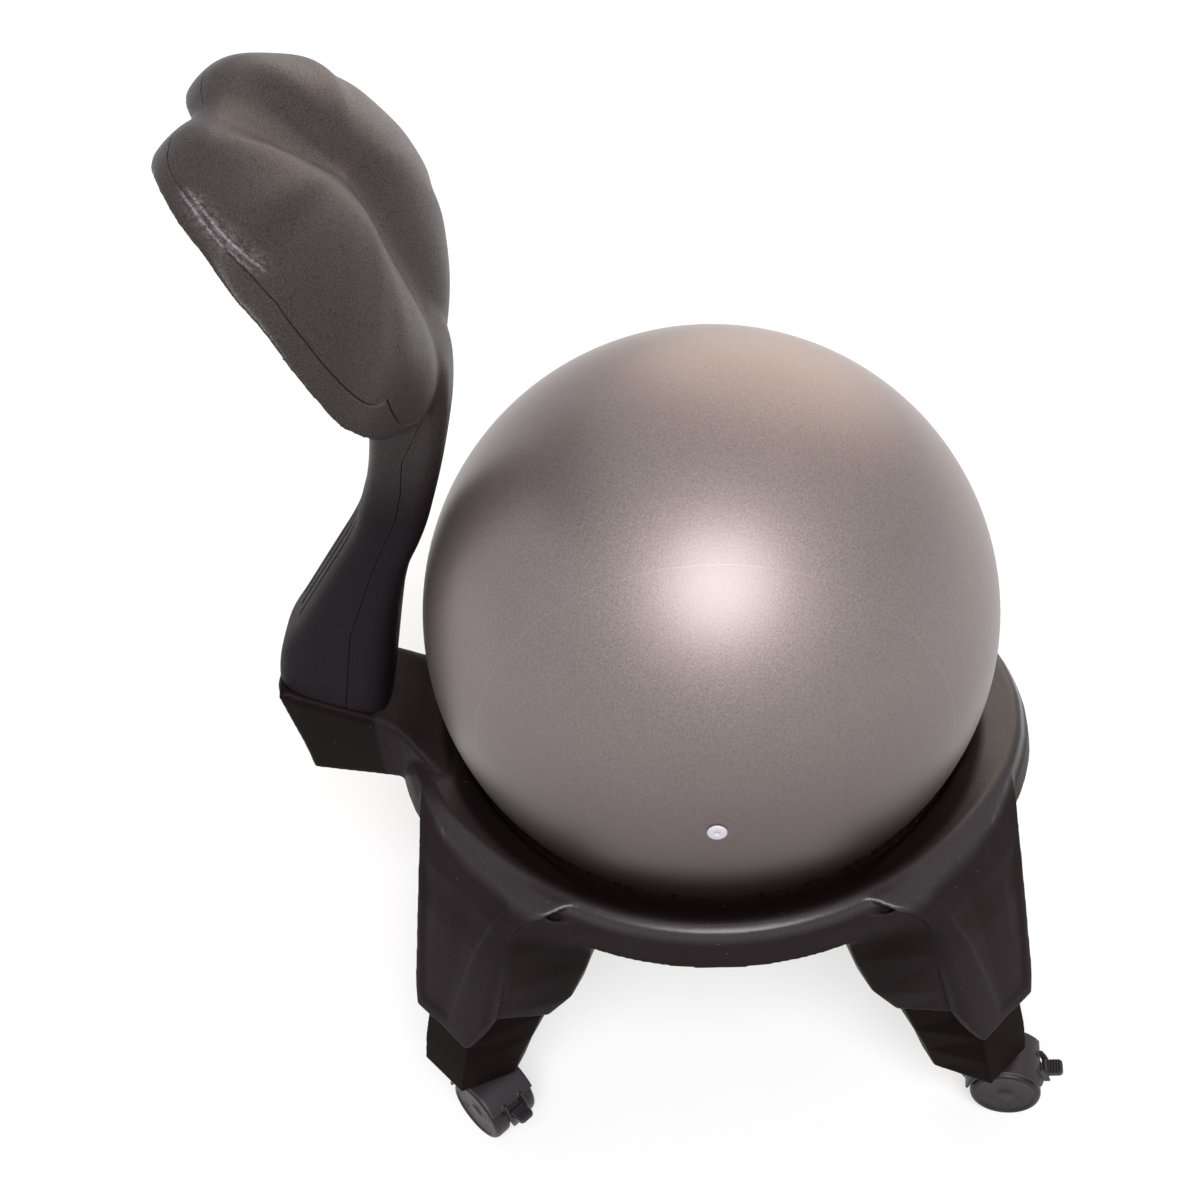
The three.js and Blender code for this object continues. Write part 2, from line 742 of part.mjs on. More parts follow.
// A leg extension: a hollow block under the core, with a spigot up into it and a tube for the caster socket
function legExtension(angle) {
  const topZ = leg.coreBottomZ - seatGap;
  const shell = (inset, fromZ, toZ) => {
    const rings = extensionShares.map((shares) => {
      const z = fromZ + (toZ - fromZ) * shares[0];
      const place = (z - extension.footZ) / (topZ - extension.footZ);
      const at = [place, ...between(extensionShares, place)];
      return hexagon(at, [extensionOut, extension.depth, extension.half], z, inset, angle);
    });
    return solid(skin(rings));
  };
  const spigotInset = leg.coreWall + extension.spigotGap;
  const spigotFrom = topZ - extension.floor;
  const spigotTo = leg.coreBottomZ + extension.spigot;
  const spigot = coreBody(angle, spigotInset, spigotFrom, spigotTo);
  const bore = spigotInset + extension.spigotWall;
  const spigotBore = coreBody(angle, bore, spigotFrom - cutOverrun, spigotTo + cutOverrun);
  const pivot = placed(pivotReach, 0, 0, angle);
  const upright = (radius, height, fromZ) => solid(moved(rod(radius, height, 12), pivot.x, pivot.y, fromZ));
  const tube = upright(socket.radius + socket.bossWall, socket.length, extension.footZ);
  const drill = upright(socket.radius + 2 * seatGap, extension.footZ + socket.length, extension.footZ - cutOverrun);
  const flangeDepth = socket.flange + seatGap;
  const flangeSeat = upright(
    socket.flangeRadius + 2 * flangeDepth,
    cutOverrun + flangeDepth,
    extension.footZ - cutOverrun,
  );
  const { origin, outward } = legScrewPlace(angle);
  const screwTip = origin.clone().addScaledVector(outward, -legScrew.length);
  const screwHole = strut(screwTip, origin, legScrew.radius + seatGap);
  const shelf = shell(extension.wall / 2, topZ - extension.floor, topZ);
  return shell(0, extension.footZ, topZ)
    .subtract(shell(extension.wall, extension.footZ + extension.floor, topZ - extension.floor))
    .add(shelf)
    .add(spigot)
    .subtract(spigotBore)
    .add(tube.intersect(shell(extension.wall / 2, extension.footZ, topZ)))
    .subtract(drill)
    .subtract(flangeSeat)
    .subtract(solid(screwHole));
}

function casterSocket() {
  return turned(
    [
      [socket.bore, 0],
      [socket.flangeRadius, 0],
      [socket.flangeRadius, socket.flange],
      [socket.radius, socket.flange],
      [socket.radius, socket.length],
      [socket.bore, socket.length],
      [socket.bore, 0],
    ],
    12,
  );
}

for (const { name, angle } of legs) {
  add(`leg_extension_${name}`, legExtension(angle), materials.legPlastic);
  const { origin, outward } = legScrewPlace(angle);
  const seat = origin.clone().addScaledVector(outward, seatGap);
  const body = screw(legScrew.radius, legScrew.length, legScrew.headRadius, legScrew.headHeight);
  add(`leg_screw_${name}`, driven(body, seat, outward.clone().negate()), materials.steel);
  const pivot = placed(pivotReach, 0, extension.footZ, angle);
  const sleeve = add(`caster_socket_${name}`, casterSocket(), materials.steel);
  sleeve.position.copy(pivot);
}

// A sector of a ring in the XZ plane about the axle, drawn out across Y
function sector(inner, outer, fromDegrees, toDegrees, fromY, toY, steps = 10) {
  const turns = Array.from({ length: steps + 1 }, (_, i) =>
    radians(fromDegrees + ((toDegrees - fromDegrees) * i) / steps),
  );
  const outline = [
    ...turns.map((turn) => [outer * cos(turn), outer * sin(turn)]),
    ...turns.reverse().map((turn) => [inner * cos(turn), inner * sin(turn)]),
  ];
  const ringAt = (y) =>
    outline.map(([x, z]) => new THREE.Vector3(caster.trail + x, y, caster.wheelRadius + z));
  return solid(skin([ringAt(fromY), ringAt(toY)]));
}

const casterHalf = caster.webWidth / 2 + caster.wheelWidth;
const hoodInner = caster.wheelRadius + caster.hoodGap;
const hoodOuter = hoodInner + caster.hoodWall;
const hoodDegrees = { from: 36, to: 172, ear: 14, lever: 24, webFrom: -14, webTo: 194, earOver: 6 };
const neckTopZ = extension.footZ - caster.neckGap;
const stemBottomZ = neckTopZ - caster.stemSeat;
const barrelOrbit = hoodInner + brake.offHood;

// The hood of a caster: a web between the wheels, a cover over them and a neck round the stem.
function casterHood() {
  const coverShell = sector(hoodInner, hoodOuter, hoodDegrees.from, hoodDegrees.to, -casterHalf, casterHalf, 7);
  const half = caster.webWidth / 2;
  const webRadius = hoodInner + caster.webBite;
  const web = sector(caster.axleRadius / 2, webRadius, hoodDegrees.webFrom, hoodDegrees.webTo, -half, half, 6);
  const hubDisc = new THREE.CylinderGeometry(caster.hubRadius, caster.hubRadius, caster.webWidth, 12);
  const hub = solid(moved(hubDisc, caster.trail, 0, caster.wheelRadius));
  const neck = solid(
    turned(
      [
        [0, caster.wheelRadius],
        [caster.neckRadius + caster.collar, caster.wheelRadius],
        [caster.neckRadius + caster.collar, stemBottomZ],
        [caster.neckRadius, neckTopZ - caster.neckRound],
        [caster.neckRadius - caster.neckRound, neckTopZ],
        [0, neckTopZ],
      ],
      12,
    ),
  );
  const tunnel = (side) => {
    const width = caster.wheelWidth + cutOverrun;
    const round = new THREE.CylinderGeometry(hoodInner, hoodInner, width, 12);
    return solid(moved(round, caster.trail, side * (half + width / 2), caster.wheelRadius));
  };
  const earInner = barrelOrbit - brake.barrelRadius - runningGap;
  const earOuter = barrelOrbit + brake.barrelRadius;
  const earTo = hoodDegrees.from + hoodDegrees.earOver;
  const ears = [-1, 1].map((side) => {
    const near = side * (brake.width / 2 + runningGap);
    const far = side * (brake.width / 2 + runningGap + brake.earWidth);
    return sector(earInner, earOuter, hoodDegrees.ear, earTo, min(near, far), max(near, far), 2);
  });
  const pins = barrelAcross(brake.pinRadius + runningGap, brake.width / 2 + 2 * brake.earWidth);
  const axleHole = new THREE.CylinderGeometry(
    caster.axleRadius + seatGap,
    caster.axleRadius + seatGap,
    2 * casterHalf,
    12,
  );
  const stemHole = moved(
    rod(caster.stemRadius + seatGap, neckTopZ, 12),
    0,
    0,
    stemBottomZ - seatGap,
  );
  return union([coverShell, web, hub, neck])
    .subtract(union([tunnel(-1), tunnel(1)]))
    .add(union(ears))
    .subtract(solid(pins))
    .subtract(solid(moved(axleHole, caster.trail, 0, caster.wheelRadius)))
    .subtract(solid(stemHole));
}

// A rod across Y at the brake's pivot.
function barrelAcross(radius, half) {
  const turn = radians(hoodDegrees.lever);
  const x = caster.trail + barrelOrbit * cos(turn);
  const z = caster.wheelRadius + barrelOrbit * sin(turn);
  return moved(new THREE.CylinderGeometry(radius, radius, 2 * half, 10), x, 0, z);
}

function brakeLever() {
  const half = brake.width / 2;
  const barrel = solid(barrelAcross(brake.barrelRadius, half));
  const pins = solid(barrelAcross(brake.pinRadius, half + runningGap + brake.earWidth));
  const turn = radians(hoodDegrees.lever);
  const tab = new THREE.BoxGeometry(brake.reach, brake.width, brake.thickness);
  tab.translate(brake.reach / 2, 0, 0);
  const tabBody = solid(tab);
  const gap = brake.reach / (brake.ribs + 1);
  const grooves = Array.from({ length: brake.ribs }, (_, i) => {
    const groove = new THREE.BoxGeometry(brake.ribWidth, brake.width + cutOverrun, 2 * brake.ribDepth);
    return solid(groove.translate(gap * (i + 1.4), 0, brake.thickness / 2));
  });
  const x = caster.trail + barrelOrbit * cos(turn);
  const z = caster.wheelRadius + barrelOrbit * sin(turn);
  const ribbed = tabBody.subtract(union(grooves));
  const tilted = geometryOf(ribbed).rotateY(radians(-14));
  return union([barrel, pins, solid(moved(tilted, x, 0, z))]);
}

function casterWheel(side) {
  const radius = caster.wheelRadius;
  const width = caster.wheelWidth;
  const round = caster.edgeRound;
  const axleEnd = 0.72 * width;
  const profile = [
    [caster.axleRadius + runningGap, 0],
    [radius - round, 0],
    [radius, round],
    [radius, width - 1.4 * round],
    [radius - 0.35 * round, width - 0.45 * round],
    [radius - 1.4 * round, width],
    [0.7 * radius, width - 0.4 * caster.dish],
    [0, width - 0.6 * caster.dish],
    [0, axleEnd],
    [caster.axleRadius + runningGap, axleEnd],
    [caster.axleRadius + runningGap, 0],
  ];
  return turned(profile, 16)
    .rotateX(side > 0 ? -QUARTER : QUARTER)
    .translate(caster.trail, side * (caster.webWidth / 2 + runningGap), caster.wheelRadius);
}

function axleBody() {
  const half = caster.webWidth / 2 + 0.7 * caster.wheelWidth;
  const pin = new THREE.CylinderGeometry(caster.axleRadius, caster.axleRadius, 2 * half, 12);
  return moved(pin, caster.trail, 0, caster.wheelRadius);
}

for (const { name, angle, trailAngle } of legs) {
  const carrier = new THREE.Group();
  carrier.position.copy(placed(pivotReach, 0, 0, angle));
  carrier.rotation.z = trailAngle;
  chair.add(carrier);
  const stemLength = extension.footZ + caster.stemReach - stemBottomZ;
  const stemRod = moved(rod(caster.stemRadius, stemLength, 12), 0, 0, stemBottomZ);
  add(`caster_stem_${name}`, stemRod, materials.steel, carrier);
  add(`caster_hood_${name}`, casterHood(), materials.casterPlastic, carrier);
  add(`caster_axle_${name}`, axleBody(), materials.steel, carrier);
  add(`caster_wheel_a_${name}`, casterWheel(1), materials.tread, carrier);
  add(`caster_wheel_b_${name}`, casterWheel(-1), materials.tread, carrier);
  add(`brake_lever_${name}`, brakeLever(), materials.casterPlastic, carrier);
}

// The back: places on the pad are across, along its reclined height and forward of it
const ROOT = sqrt(0.5);
const padPlace = (across, along, forward) =>
  new THREE.Vector3(across, (along - forward) * ROOT, (along + forward) * ROOT);
const padForward = new THREE.Vector3(0, -ROOT, ROOT);

// The lip of the tail's deck, which the pad is placed from.
const lipAlong = (lipY + tail.lipZ) * ROOT;
const lipForward = (tail.lipZ - lipY) * ROOT;
const middleShare = 0.588;
const bottomAlong = lipAlong + pad.bottomUp;
const lowForward = lipForward + pad.lowOut;
const middleAlong = bottomAlong + pad.height * middleShare;
const middleForward = lipForward + pad.middleOut;

// The right half of the pad's rim, from the middle of its top to the middle of its bottom: across, along,
// forward, and how full the front stands over the rim there.
const rimShares = [
  [0, 0.965, 0.83, 1],
  [0.14, 0.99, 0.73, 1],
  [0.28, 1, 0.68, 0.95],
  [0.465, 0.976, 0.84, 0.42],
  [0.634, 0.903, 0.93, 0.24],
  [0.756, 0.817, 1, 0.2],
  [0.85, 0.727, 1, 0.06],
  [0.92, 0.63, 1, 0.03],
  [0.972, 0.533, 0.93, 0.02],
  [1, 0.426, 0.84, 0.03],
  [0.995, 0.35, 0.76, 0.03],
  [0.92, 0.27, 0.68, 0.06],
  [0.775, 0.208, 0.47, 0.27],
  [0.61, 0.156, 0.27, 0.7],
  [0.42, 0.09, 0.11, 0.75],
  [0.21, 0.042, 0.04, 0.6],
  [0, 0.02, 0, 0.6],
];
const rimHalf = rimShares.map(([across, along, forward, fullness]) => [
  pad.halfWidth * across,
  bottomAlong + pad.height * along,
  lowForward + pad.bow * forward,
  fullness,
]);
const rim = [...rimHalf, ...rimHalf.slice(1, -1).map(([across, ...rest]) => [-across, ...rest]).reverse()];

// The pad's height over its rim: a parabola where it is slim, and a blunt cushion's edge where it is full.
const swell = (share, fullness) => (1 - share ** (2 + 6 * fullness)) ** (1 - 0.62 * fullness);
const rearFullness = 0.4;
const valleyDepthShare = 0.42;
const valleyShare = (across) => 1 - valleyDepthShare * Math.exp(-((across / pad.valleyWidth) ** 2));

// A place on the pad at a share of the way from its middle out to a rim place.
function padSurface([edgeAcross, edgeAlong, edgeForward, fullness], share, front, inset) {
  const across = edgeAcross * share;
  const along = middleAlong + (edgeAlong - middleAlong) * share;
  const level = middleForward + (edgeForward - middleForward) * share;
  const lift = front ? pad.crown * valleyShare(across) - inset : inset - pad.rearCrown;
  return padPlace(across, along, level + lift * swell(share, front ? fullness : rearFullness));
}

const frontReachShares = [0.985, 0.93, 0.8, 0.6, 0.36, 0.14];
const rearReachShares = [0.14, 0.6, 0.93];

function padBody(inset) {
  const inner = rim.map(([across, along, ...rest]) => {
    const share = 1 - inset / Math.hypot(across, along - middleAlong);
    return [across * share, middleAlong + (along - middleAlong) * share, ...rest];
  });
  const ringAt = (share, front) => inner.map((place) => padSurface(place, share, front, inset));
  const frontShares = frontReachShares.filter((_, i) => !inset || i % 2 === 1);
  const rings = [
    ...rearReachShares.map((share) => ringAt(share, false)),
    ringAt(1, true),
    ...frontShares.map((share) => ringAt(share, true)),
  ];
  return solid(skin(rings));
}

// Rows of the stem: a height share, then the front, the back and the half-width as shares.
const stemShares = [
  [0, 0.525, 1, 1],
  [0.048, 0.5, 1, 1],
  [0.136, 0.46, 0.988, 1],
  [0.21, 0.426, 0.945, 0.98],
  [0.274, 0.396, 0.856, 0.95],
  [0.345, 0.359, 0.757, 0.92],
  [0.429, 0.302, 0.639, 0.88],
  [0.479, 0.248, 0.569, 0.86],
  [0.529, 0.2, 0.51, 0.85],
  [0.579, 0.163, 0.47, 0.84],
  [0.648, 0.116, 0.42, 0.84],
  [0.719, 0.074, 0.385, 0.84],
  [0.807, 0.032, 0.36, 0.84],
  [0.893, 0.015, 0.345, 0.84],
  [0.955, 0.04, 0.27, 0.8],
  [1, 0.08, 0.17, 0.74],
];
const stemSides = 16;

const stemZ = (share) => tail.lipZ - stem.baseDrop + stem.height * share;
const stemY = (share) => lipY - stem.frontReach + (stem.frontReach + stem.backReach) * share;

function stemRow(shares) {
  const [height, front, back, wide] = shares;
  return {
    z: stemZ(height),
    frontY: stemY(front),
    backY: stemY(back),
    half: stem.half * wide,
  };
}

function stemBody(inset) {
  const soft = (value) => Math.sign(value) * abs(value) ** 0.5;
  const rows = inset ? stemShares.filter((_, i) => i % 2 === 0) : stemShares;
  const rings = rows.map((shares, i) => {
    const { z, frontY, backY, half } = stemRow(shares);
    const drop = inset && i === 0 ? cutOverrun : 0;
    const middle = (frontY + backY) / 2;
    return Array.from({ length: stemSides }, (_, j) => {
      const turn = (2 * PI * j) / stemSides;
      const x = (half - inset) * soft(cos(turn));
      const y = middle + ((backY - frontY) / 2 - inset) * soft(sin(turn));
      return new THREE.Vector3(x, y, z - drop);
    });
  });
  return solid(skin(rings));
}

// The seam between the shells, seen from the side: up the stem, then along the pad's rim.
const seamShares = [
  [-0.1, 0.72],
  [0.079, 0.683],
  [0.283, 0.594],
  [0.36, 0.525],
  [0.44, 0.455],
  [0.512, 0.381],
  [0.574, 0.312],
  [0.643, 0.267],
  [0.721, 0.237],
  [0.79, 0.16],
  [0.845, 0.1],
];

function seamPath() {
  const onStem = seamShares.map(([height, depth]) => [stemY(depth), stemZ(height)]);
  const onRim = rimHalf
    .slice(3, -2)
    .reverse()
    .map(([across, along, forward]) => padPlace(across, along, forward + pad.seamForward))
    .map(({ y, z }) => [y, z]);
  const [endY, endZ] = onRim.at(-1);
  return [...onStem, ...onRim, [endY + pad.bow, endZ + pad.bow]];
}

// Everything in front of the seam, or behind it with the gap between the shells left out.
function sideOfSeam(forward) {
  const path = seamPath();
  const shift = forward ? -seatGap / 2 : seatGap / 2;
  const farY = forward ? -pad.height : 3 * pad.height;
  const [bottom, top] = [path[0], path.at(-1)];
  const outline = [
    ...path.map(([y, z]) => [y + shift, z - shift * 0.7]),
    [farY, top[1] + pad.height],
    [farY, bottom[1] - pad.height],
    [bottom[0] + shift, bottom[1] - pad.height],
  ];
  const shape = plate(outline, 2 * pad.height);
  shape.translate(0, 0, -pad.height);
  const upright = new THREE.Matrix4().makeBasis(
    new THREE.Vector3(0, 1, 0),
    new THREE.Vector3(0, 0, 1),
    new THREE.Vector3(1, 0, 0),
  );
  return solid(shape.applyMatrix4(upright));
}

function flutes() {
  const rows = stemShares.map(stemRow);
  const back = [rows[4], rows[6], rows[7], rows[9]].map(({ z, backY }) => [backY + flute.radius - flute.depth, z]);
  const front = [rows[9], rows[11], rows[12]].map(({ z, frontY }) => [frontY - flute.radius + flute.depth, z]);
  const bodies = [];
  for (const line of [back, front]) {
    for (const x of [-flute.spacing, 0, flute.spacing]) {
      for (let i = 1; i < line.length; i++) {
        const from = new THREE.Vector3(x, ...line[i - 1]);
        const to = new THREE.Vector3(x, ...line[i]);
        bodies.push(solid(strut(from, to, flute.radius, 6)));
      }
    }
  }
  return union(bodies);
}

// Places of the shells' screws as shares of the pad's half-width and height.
const shellScrewShares = [
  [0.432, 0.346],
  [0.488, 0.747],
];
const shellScrewPlaces = [-1, 1].flatMap((side) =>
  shellScrewShares.map(([across, along]) => [side * pad.halfWidth * across, bottomAlong + pad.height * along]),
);

// How far forward the pad's rear face lies at a shell screw.
function rearForward(across, along) {
  const turn = (place) => Math.atan2(abs(place[0]), place[1] - middleAlong);
  const goal = turn([across, along]);
  const rows = rimHalf.map((place) => [turn(place), ...place]);
  const [edgeAcross, edgeAlong, edgeForward] = between(rows, goal);
  const share = Math.hypot(across, along - middleAlong) / Math.hypot(edgeAcross, edgeAlong - middleAlong);
  const level = middleForward + (edgeForward - middleForward) * share;
  return level - pad.rearCrown * swell(share, rearFullness);
}

// The block of the valley between the lobes that lies behind the seam but belongs to the front shell.
const valleyBlockShares = [
  [0.14, 0.36],
  [0.27, 0.6],
  [0.43, 0.9],
  [0.56, 1.1],
  [0.56, 2.4],
  [0.14, 2.4],
];
const valleyBlockShare = 0.92;

function valleyBlock(grow) {
  const half = stem.half * valleyBlockShare + grow;
  const middle = bottomAlong + pad.height * valleyBlockShares[2][0];
  const corners = (across) =>
    valleyBlockShares.map(([along, forward]) => {
      const place = bottomAlong + pad.height * along;
      const outward = place < middle ? -grow : grow;
      return padPlace(across, place + outward, lowForward + pad.bow * forward - grow);
    });
  return solid(skin([corners(-half), corners(half)]));
}

function backShells() {
  const outer = union([padBody(0), stemBody(0)]);
  const clearOfDeck = (body, above) => {
    const { x, y, z } = deckNormal;
    return body.trimByPlane([x, y, z], deckPoint(0, lipY, above).dot(deckNormal));
  };
  const hollow = clearOfDeck(union([padBody(pad.wall), stemBody(stem.wall)]), seatGap + stem.floor);
  const shell = clearOfDeck(outer, seatGap).subtract(hollow).subtract(flutes());
  const bosses = { front: [], rear: [], holes: [] };
  for (const [across, along] of shellScrewPlaces) {
    const rear = rearForward(across, along);
    const at = (forward) => padPlace(across, along, rear + forward);
    const meet = shellScrew.bossDepth;
    bosses.rear.push(solid(strut(at(shellScrew.bossBite), at(meet), shellScrew.rearBoss)));
    bosses.front.push(solid(strut(at(meet + seatGap), at(2 * pad.crown), shellScrew.frontBoss)));
    bosses.holes.push(solid(strut(at(-pad.crown), at(shellScrew.pocket), shellScrew.headRadius + 2 * seatGap, 16)));
    const tip = shellScrew.pocket + shellScrew.length + cutOverrun;
    bosses.holes.push(solid(strut(at(0), at(tip), shellScrew.radius + seatGap)));
  }
  const boltHoles = boltPlaces.map(([x, y]) =>
    solid(strut(deckPoint(x, y, -cutOverrun), deckPoint(x, y, bolt.length), bolt.radius + seatGap)),
  );
  const holes = union([...bosses.holes, ...boltHoles]);
  const within = padBody(pad.wall / 2);
  const front = shell
    .intersect(sideOfSeam(true).add(valleyBlock(0)))
    .add(union(bosses.front).intersect(within))
    .subtract(holes);
  const rear = shell
    .intersect(sideOfSeam(false).subtract(valleyBlock(seatGap)))
    .add(union(bosses.rear).intersect(within))
    .subtract(holes);
  return { front, rear };
}

const shells = backShells();
add("backrest_front_shell", shells.front, materials.backPlastic);
add("backrest_rear_shell", shells.rear, materials.backPlastic);
shellScrewPlaces.forEach(([across, along], i) => {
  const body = screw(shellScrew.radius, shellScrew.length, shellScrew.headRadius, shellScrew.headHeight);
  const seat = padPlace(across, along, rearForward(across, along) + shellScrew.pocket - seatGap);
  add(`backrest_screw_${i + 1}`, driven(body, seat, padForward), materials.steel);
});

// The steel plate in the foot, and the bolts that come up to it through the deck
function nutPlateBody() {
  const floor = seatGap + stem.floor + seatGap;
  const corners = [-1, 1, 1, -1].map((sideways, i) => [
    (sideways * nutPlate.across) / 2,
    boltMiddleY + ((i < 2 ? -1 : 1) * nutPlate.along) / 2,
  ]);
  const low = corners.map(([x, y]) => deckPoint(x, y, floor));
  const high = corners.map(([x, y]) => deckPoint(x, y, floor + nutPlate.thickness));
  const holes = boltPlaces.map(([x, y]) =>
    solid(strut(deckPoint(x, y, 0), deckPoint(x, y, bolt.length), bolt.radius + seatGap)),
  );
  return solid(skin([low, high])).subtract(union(holes));
}

add("backrest_nut_plate", nutPlateBody(), materials.steel);
boltPlaces.forEach(([x, y], i) => {
  const body = screw(bolt.radius, bolt.length, bolt.headRadius, bolt.headHeight);
  add(`backrest_bolt_${i + 1}`, driven(body, deckPoint(x, y, -tail.wall - seatGap), deckNormal), materials.steel);
});

export default chair;
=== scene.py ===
"""A balance ball chair: an exercise ball in the ring of a moulded base with four splayed legs, leg
extensions on braked twin-wheel casters, and a reclined two-lobed back of two shells on a hollow stem."""

import json
import math

import bmesh
import bpy
from mathutils import Matrix, Vector


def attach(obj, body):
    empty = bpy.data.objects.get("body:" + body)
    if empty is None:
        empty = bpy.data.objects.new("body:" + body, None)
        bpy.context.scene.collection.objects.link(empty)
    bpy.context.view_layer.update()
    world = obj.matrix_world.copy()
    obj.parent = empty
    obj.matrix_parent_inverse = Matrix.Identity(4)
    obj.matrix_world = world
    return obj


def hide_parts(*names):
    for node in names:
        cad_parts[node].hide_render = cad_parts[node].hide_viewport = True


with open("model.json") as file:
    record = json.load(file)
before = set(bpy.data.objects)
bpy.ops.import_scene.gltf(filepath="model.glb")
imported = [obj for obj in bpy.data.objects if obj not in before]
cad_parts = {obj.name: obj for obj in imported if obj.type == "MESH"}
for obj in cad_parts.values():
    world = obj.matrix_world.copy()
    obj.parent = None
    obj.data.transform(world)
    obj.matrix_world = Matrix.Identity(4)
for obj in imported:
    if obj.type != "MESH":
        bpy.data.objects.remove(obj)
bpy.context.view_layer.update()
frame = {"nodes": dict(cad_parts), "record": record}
scene = bpy.context.scene
nodes = frame["nodes"]

MM = 0.001


# Shader maths


class Value:
    """A socket of a shader tree, on which sums are written as Python expressions."""

    def __init__(self, maker, socket):
        self.maker = maker
        self.socket = socket

    def _math(self, operation, *others):
        return self.maker.node("Math", {"operation": operation}, *others)

    def __add__(self, other):
        return self._math("ADD", self, other)

    def __radd__(self, other):
        return self._math("ADD", other, self)

    def __sub__(self, other):
        return self._math("SUBTRACT", self, other)

    def __rsub__(self, other):
        return self._math("SUBTRACT", other, self)

    def __mul__(self, other):
        return self._math("MULTIPLY", self, other)

    def __pow__(self, other):
        return self._math("POWER", self, other)

    def __abs__(self):
        return self._math("ABSOLUTE", self)

    def low(self, other):
        return self._math("MINIMUM", self, other)

    def high(self, other):
        return self._math("MAXIMUM", self, other)

    def between(self, start, end):
        """0 at start and before it, 1 at end and beyond it, and smooth between them."""
        settings = {"interpolation_type": "SMOOTHSTEP", "clamp": True}
        return self.maker.node("MapRange", settings, self, start, end, 0.0, 1.0)


class Finish:
    """A procedural material with one Principled shader."""

    def __init__(self, name):
        self.material = bpy.data.materials.new(name)
        self.material.use_nodes = True
        self.tree = self.material.node_tree
        self.shader = self.tree.nodes["Principled BSDF"]
        self.place = Value(self, self.tree.nodes.new("ShaderNodeTexCoord").outputs["Object"])

    def put(self, socket, value):
        """Links a socket to a value of the tree, or gives it a number or a colour."""
        if isinstance(value, Value):
            self.tree.links.new(value.socket, socket)
        elif socket.type == "RGBA":
            socket.default_value = (*value, 1.0)
        else:
            socket.default_value = value

    def node(self, kind, settings, *inputs, **named):
        """The first output of a new node, with its inputs given in their order or by name."""
        made = self.tree.nodes.new("ShaderNode" + kind)
        for name, value in settings.items():
            setattr(made, name, value)
        for socket, value in zip(made.inputs, inputs):
            self.put(socket, value)
        for name, value in named.items():
            self.put(made.inputs[name], value)
        return Value(self, made.outputs[0])

    def noise(self, scale, detail=3.0, rough=0.55):
        return self.node("TexNoise", {}, Vector=self.place, Scale=scale, Detail=detail, Roughness=rough)

    def cells(self, scale, feature="DISTANCE_TO_EDGE", place=None):
        return self.node("TexVoronoi", {"feature": feature}, Vector=place or self.place, Scale=scale)

    def axes(self):
        split = self.tree.nodes.new("ShaderNodeSeparateXYZ")
        self.put(split.inputs[0], self.place)
        return [Value(self, out) for out in split.outputs]

    def blend(self, share, first, second):
        """The first colour where the share is 0, the second where it is 1, and mixed between."""
        made = self.tree.nodes.new("ShaderNodeMix")
        made.data_type = "RGBA"
        # The node has sockets for every type of data: inputs 6 and 7 and output 2 are those for colours.
        self.put(made.inputs[0], share)
        self.put(made.inputs[6], first)
        self.put(made.inputs[7], second)
        return Value(self, made.outputs[2])

    def bump(self, height, distance, strength=1.0):
        """A bump of a height between 0 and 1 that stands for a distance in metres."""
        made = self.node("Bump", {}, Strength=strength, Distance=distance, Height=height)
        self.put(self.shader.inputs["Normal"], made)

    def set(self, **values):
        for name, value in values.items():
            self.put(self.shader.inputs[name.replace("_", " ")], value)
        return self.material


# The finishes, with places on the chair in metres


def ball_skin():
    """Satin skin with a grain that the light picks out, a faint ring left by its mould, and shade painted
    darker below.
    """
    make = Finish("ball skin")
    grain = make.noise(640, 2, 0.6)
    drift = make.noise(5, 3)
    x, y, z = make.axes()
    shade = drift * 0.35 + (grain - 0.5) * 1.5 + 0.32
    colour = make.blend(shade, (0.175, 0.14, 0.131), (0.325, 0.271, 0.26))
    # Painted shade: the skin's colour darkens towards the bottom, where the base shades it.
    painted_shade_below = z.between(0.58, 0.29)
    colour = make.blend(painted_shade_below * 0.93, colour, (0.034, 0.019, 0.017))
    off_mould_line = abs(x + 0.1672)
    mould = 1 - off_mould_line.between(0.0, 0.0011)
    colour = make.blend(mould * 0.12, colour, (0.4, 0.36, 0.34))
    make.bump(grain * 0.8 + mould * 0.3, 0.0003, 0.5)
    return make.set(
        Base_Color=colour,
        Metallic=0.62,
        Roughness=0.46 + (grain - 0.5) * 0.2,
        Specular_IOR_Level=0.25,
        Coat_Weight=0.6,
        Coat_Roughness=0.38,
    )


def valve_white():
    """The plug's smooth off-white plastic."""
    make = Finish("valve white")
    grain = make.noise(2600, 2)
    make.bump(grain, 0.00004)
    colour = make.blend(make.noise(420, 2), (0.62, 0.6, 0.66), (0.72, 0.7, 0.74))
    return make.set(Base_Color=colour, Roughness=0.42 + grain * 0.1)


def moulded(name, dark, light, roughness, sheen, grain_scale=700, grain_depth=0.0003):
    """Moulded plastic with a sand grain and slow changes of shade: its finish, its colour and its grain."""
    make = Finish(name)
    grain = make.noise(grain_scale, 3, 0.6)
    drift = make.noise(16, 4)
    colour = make.blend(drift * 0.7 + (grain - 0.35) * 0.8, dark, light)
    make.bump(grain, grain_depth, 0.8)
    rough = roughness + (drift - 0.5) * 0.14 + (grain - 0.5) * 0.2
    make.set(Base_Color=colour, Roughness=rough, Specular_IOR_Level=sheen)
    return make, colour, grain


